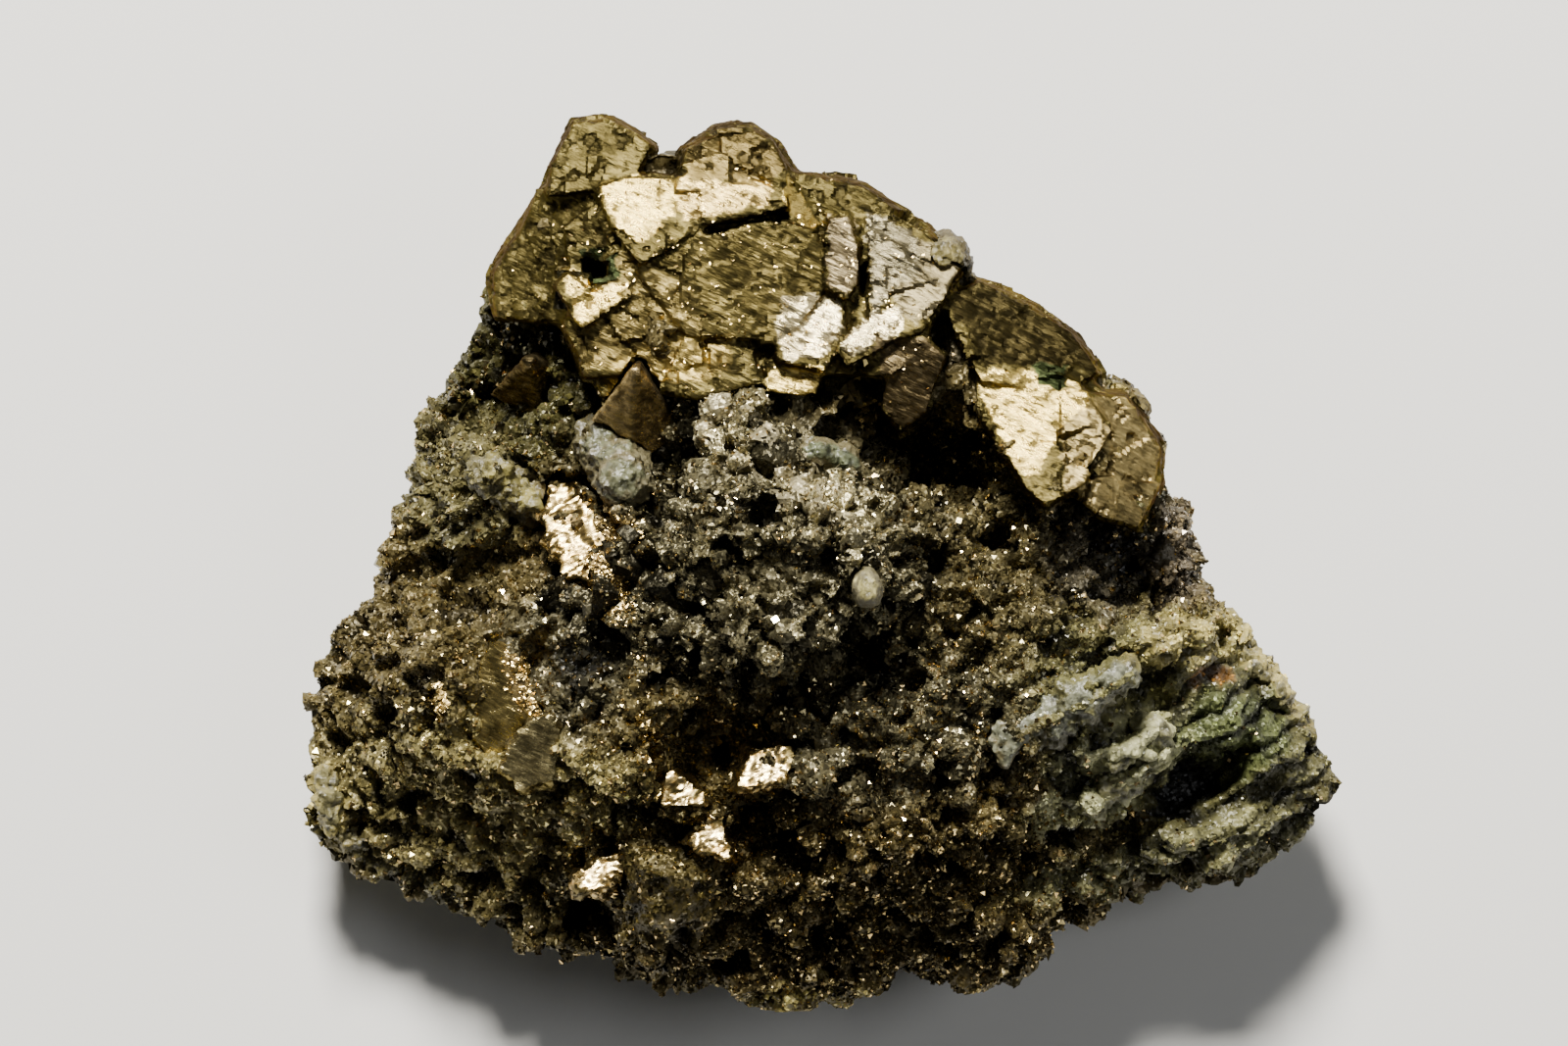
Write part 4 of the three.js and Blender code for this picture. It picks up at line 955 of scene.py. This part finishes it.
def mineral(name, size, bump, rough, spread, stretch=(1, 1, 1), turn=0.0, metallic=None, polish=0.0,
            facet_size=8000, facet_tilt=0.0, **settings):
    """A material whose colour comes from the corners, as does its share of metal unless one is given, and
    whose grain comes from the group."""
    made = bpy.data.materials.new(name)
    made.use_nodes = True
    tree = made.node_tree
    shader = tree.nodes["Principled BSDF"]
    grain = add_node(tree, "ShaderNodeGroup")
    grain.node_tree = GRAIN
    given = {"Size": size, "Bump": bump, "Facet Size": facet_size, "Facet Tilt": facet_tilt,
             "Stretch": stretch, "Turn": math.radians(turn)}
    for key, value in given.items():
        grain.inputs[key].default_value = value
    shade = from_grain(tree, SHADE_LOW, SHADE_HIGH)
    mixed = add_node(tree, "ShaderNodeVectorMath", "SCALE")
    roughness = from_grain(tree, rough - spread, rough + spread)
    polished = add_node(tree, "ShaderNodeMath", "MULTIPLY_ADD", {1: -polish})
    link(tree, [
        (grain.outputs["Factor"], shade.inputs["Value"]),
        (corner_value(tree, "tint").outputs["Vector"], mixed.inputs[0]),
        (shade.outputs["Result"], mixed.inputs["Scale"]),
        (mixed.outputs["Vector"], shader.inputs["Base Color"]),
        (grain.outputs["Factor"], roughness.inputs["Value"]),
        (corner_value(tree, "polish").outputs["Fac"], polished.inputs[0]),
        (roughness.outputs["Result"], polished.inputs[2]),
        (polished.outputs["Value"], shader.inputs["Roughness"]),
        (grain.outputs["Normal"], shader.inputs["Normal"]),
    ])
    if metallic is None:
        link(tree, [(corner_value(tree, "metal").outputs["Fac"], shader.inputs["Metallic"])])
    else:
        shader.inputs["Metallic"].default_value = metallic
    for key, value in settings.items():
        shader.inputs[key].default_value = value
    return made


MATERIALS = {
    "rock": mineral("vuggy_rock", size=1500, bump=0.6, rough=0.42, spread=0.12, facet_size=7500,
                    facet_tilt=0.9, **{"Specular IOR Level": DULL_SHEEN}),
    "siegenite": mineral("grey_siegenite", size=2600, bump=0.6, rough=0.36, spread=0.12, facet_size=9000,
                         facet_tilt=0.9),
    "druse": mineral("druse_crystals", size=3000, bump=0.1, rough=0.30, spread=0.06, polish=0.14),
    "crown": mineral("brassy_faces", size=7000, bump=0.6, rough=0.44, spread=0.12, polish=0.2,
                     stretch=(0.2, 1.0, 0.6), turn=25, facet_size=7500, facet_tilt=0.34,
                     **{"Specular Tint": BRASSY_EDGE}),
    "mirror": mineral("cleaved_brass", size=3500, bump=0.3, rough=0.32, spread=0.06, polish=0.1,
                      stretch=(0.3, 1.0, 1.0), turn=-30, facet_size=5000, facet_tilt=0.26, metallic=1.0),
    "quartz": mineral("milky_quartz", size=3200, bump=0.5, rough=0.36, spread=0.12, facet_tilt=0.5,
                      metallic=0.0, **EVEN_GLOW),
    "dolomite": mineral("buff_dolomite", size=2600, bump=0.6, rough=0.45, spread=0.12, facet_tilt=0.5,
                        metallic=0.0, **EVEN_GLOW),
}
FINISH_OF_SLOT = {
    "chalcopyrite": "crown",
    "cleaved_chalcopyrite": "mirror",
    "quartz": "quartz",
    "dolomite": "dolomite",
}


def finish(piece, material, smooth=True):
    """Gives a piece its material, smooth up to its sharp edges or faceted, and fixes it to the specimen."""
    piece.data.materials.clear()
    piece.data.materials.append(MATERIALS[material])
    if smooth:
        piece.data.shade_smooth()
        piece.data.set_sharp_from_angle(angle=SHARP)
    else:
        piece.data.shade_flat()
    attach(piece, "root")


finish(rock, "rock")
finish(siegenite, "siegenite")
finish(crown, "crown")
for piece in small.values():
    finish(piece, FINISH_OF_SLOT[piece["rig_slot"]])
for piece in druse:
    finish(piece, "mirror" if piece["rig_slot"] == "cleaved_chalcopyrite" else "druse", smooth=False)
print("materials:", len(MATERIALS))

# %% [markdown]
# The view is the photo's: straight down on the face, with a long lens so that the tall middle isn't
# swollen. The main light is a softbox low on the crown's side, which flat faces leaning that way
# throw back at the camera. A weak one from the right opens the shadows. The floor is plain and pale.

# %% Floor, light and camera
CAMERA_HEIGHT = 0.62
FACE_LEVEL = 0.012  # height at which the picture's scale is true
PICTURE_WIDTH = 0.072
PICTURE_MIDDLE = (-0.0018, 0.0019)
SENSOR = 36.0
ROOM_LIGHT = 0.06


def pale_floor():
    """A plain floor under the specimen."""
    bpy.ops.mesh.primitive_plane_add(size=1.6, location=(0, 0, 0))
    floor = bpy.context.object
    floor.name = "floor"
    made = bpy.data.materials.new("pale_floor")
    made.use_nodes = True
    shader = made.node_tree.nodes["Principled BSDF"]
    shader.inputs["Base Color"].default_value = (0.72, 0.72, 0.7, 1)
    shader.inputs["Roughness"].default_value = 0.9
    shader.inputs["Specular IOR Level"].default_value = 0.1
    floor.data.materials.append(made)


def softbox(name, direction, distance, size, power, colour):
    """A square light aimed at the specimen from a direction."""
    made = bpy.data.lights.new(name, "AREA")
    made.energy = power
    made.size = size
    made.color = colour
    lamp = bpy.data.objects.new(name, made)
    lamp.location = Vector(direction).normalized() * distance
    lamp.rotation_euler = Vector(direction).to_track_quat("Z", "Y").to_euler()
    scene.collection.objects.link(lamp)


def room():
    """Even, weak light from all sides."""
    world = bpy.data.worlds.new("room")
    world.use_nodes = True
    background = world.node_tree.nodes["Background"]
    background.inputs["Color"].default_value = (1.0, 1.0, 1.0, 1)
    background.inputs["Strength"].default_value = ROOM_LIGHT
    scene.world = world


def look_down():
    """The photo's camera."""
    lens = bpy.data.cameras.new("camera")
    lens.sensor_width = SENSOR
    lens.lens = SENSOR * (CAMERA_HEIGHT - FACE_LEVEL) / PICTURE_WIDTH
    lens.clip_start = 0.01
    viewer = bpy.data.objects.new("camera", lens)
    viewer.location = (*PICTURE_MIDDLE, CAMERA_HEIGHT)
    scene.collection.objects.link(viewer)
    scene.camera = viewer


pale_floor()
softbox("key", direction=(-0.12, 0.72, 0.70), distance=0.5, size=0.11, power=10.0, colour=(1.0, 0.96, 0.89))
softbox("fill", direction=(0.7, 0.1, 0.8), distance=0.7, size=0.3, power=1.0, colour=(0.97, 0.98, 1.0))
room()
look_down()
print("lens:", round(scene.camera.data.lens), "mm")
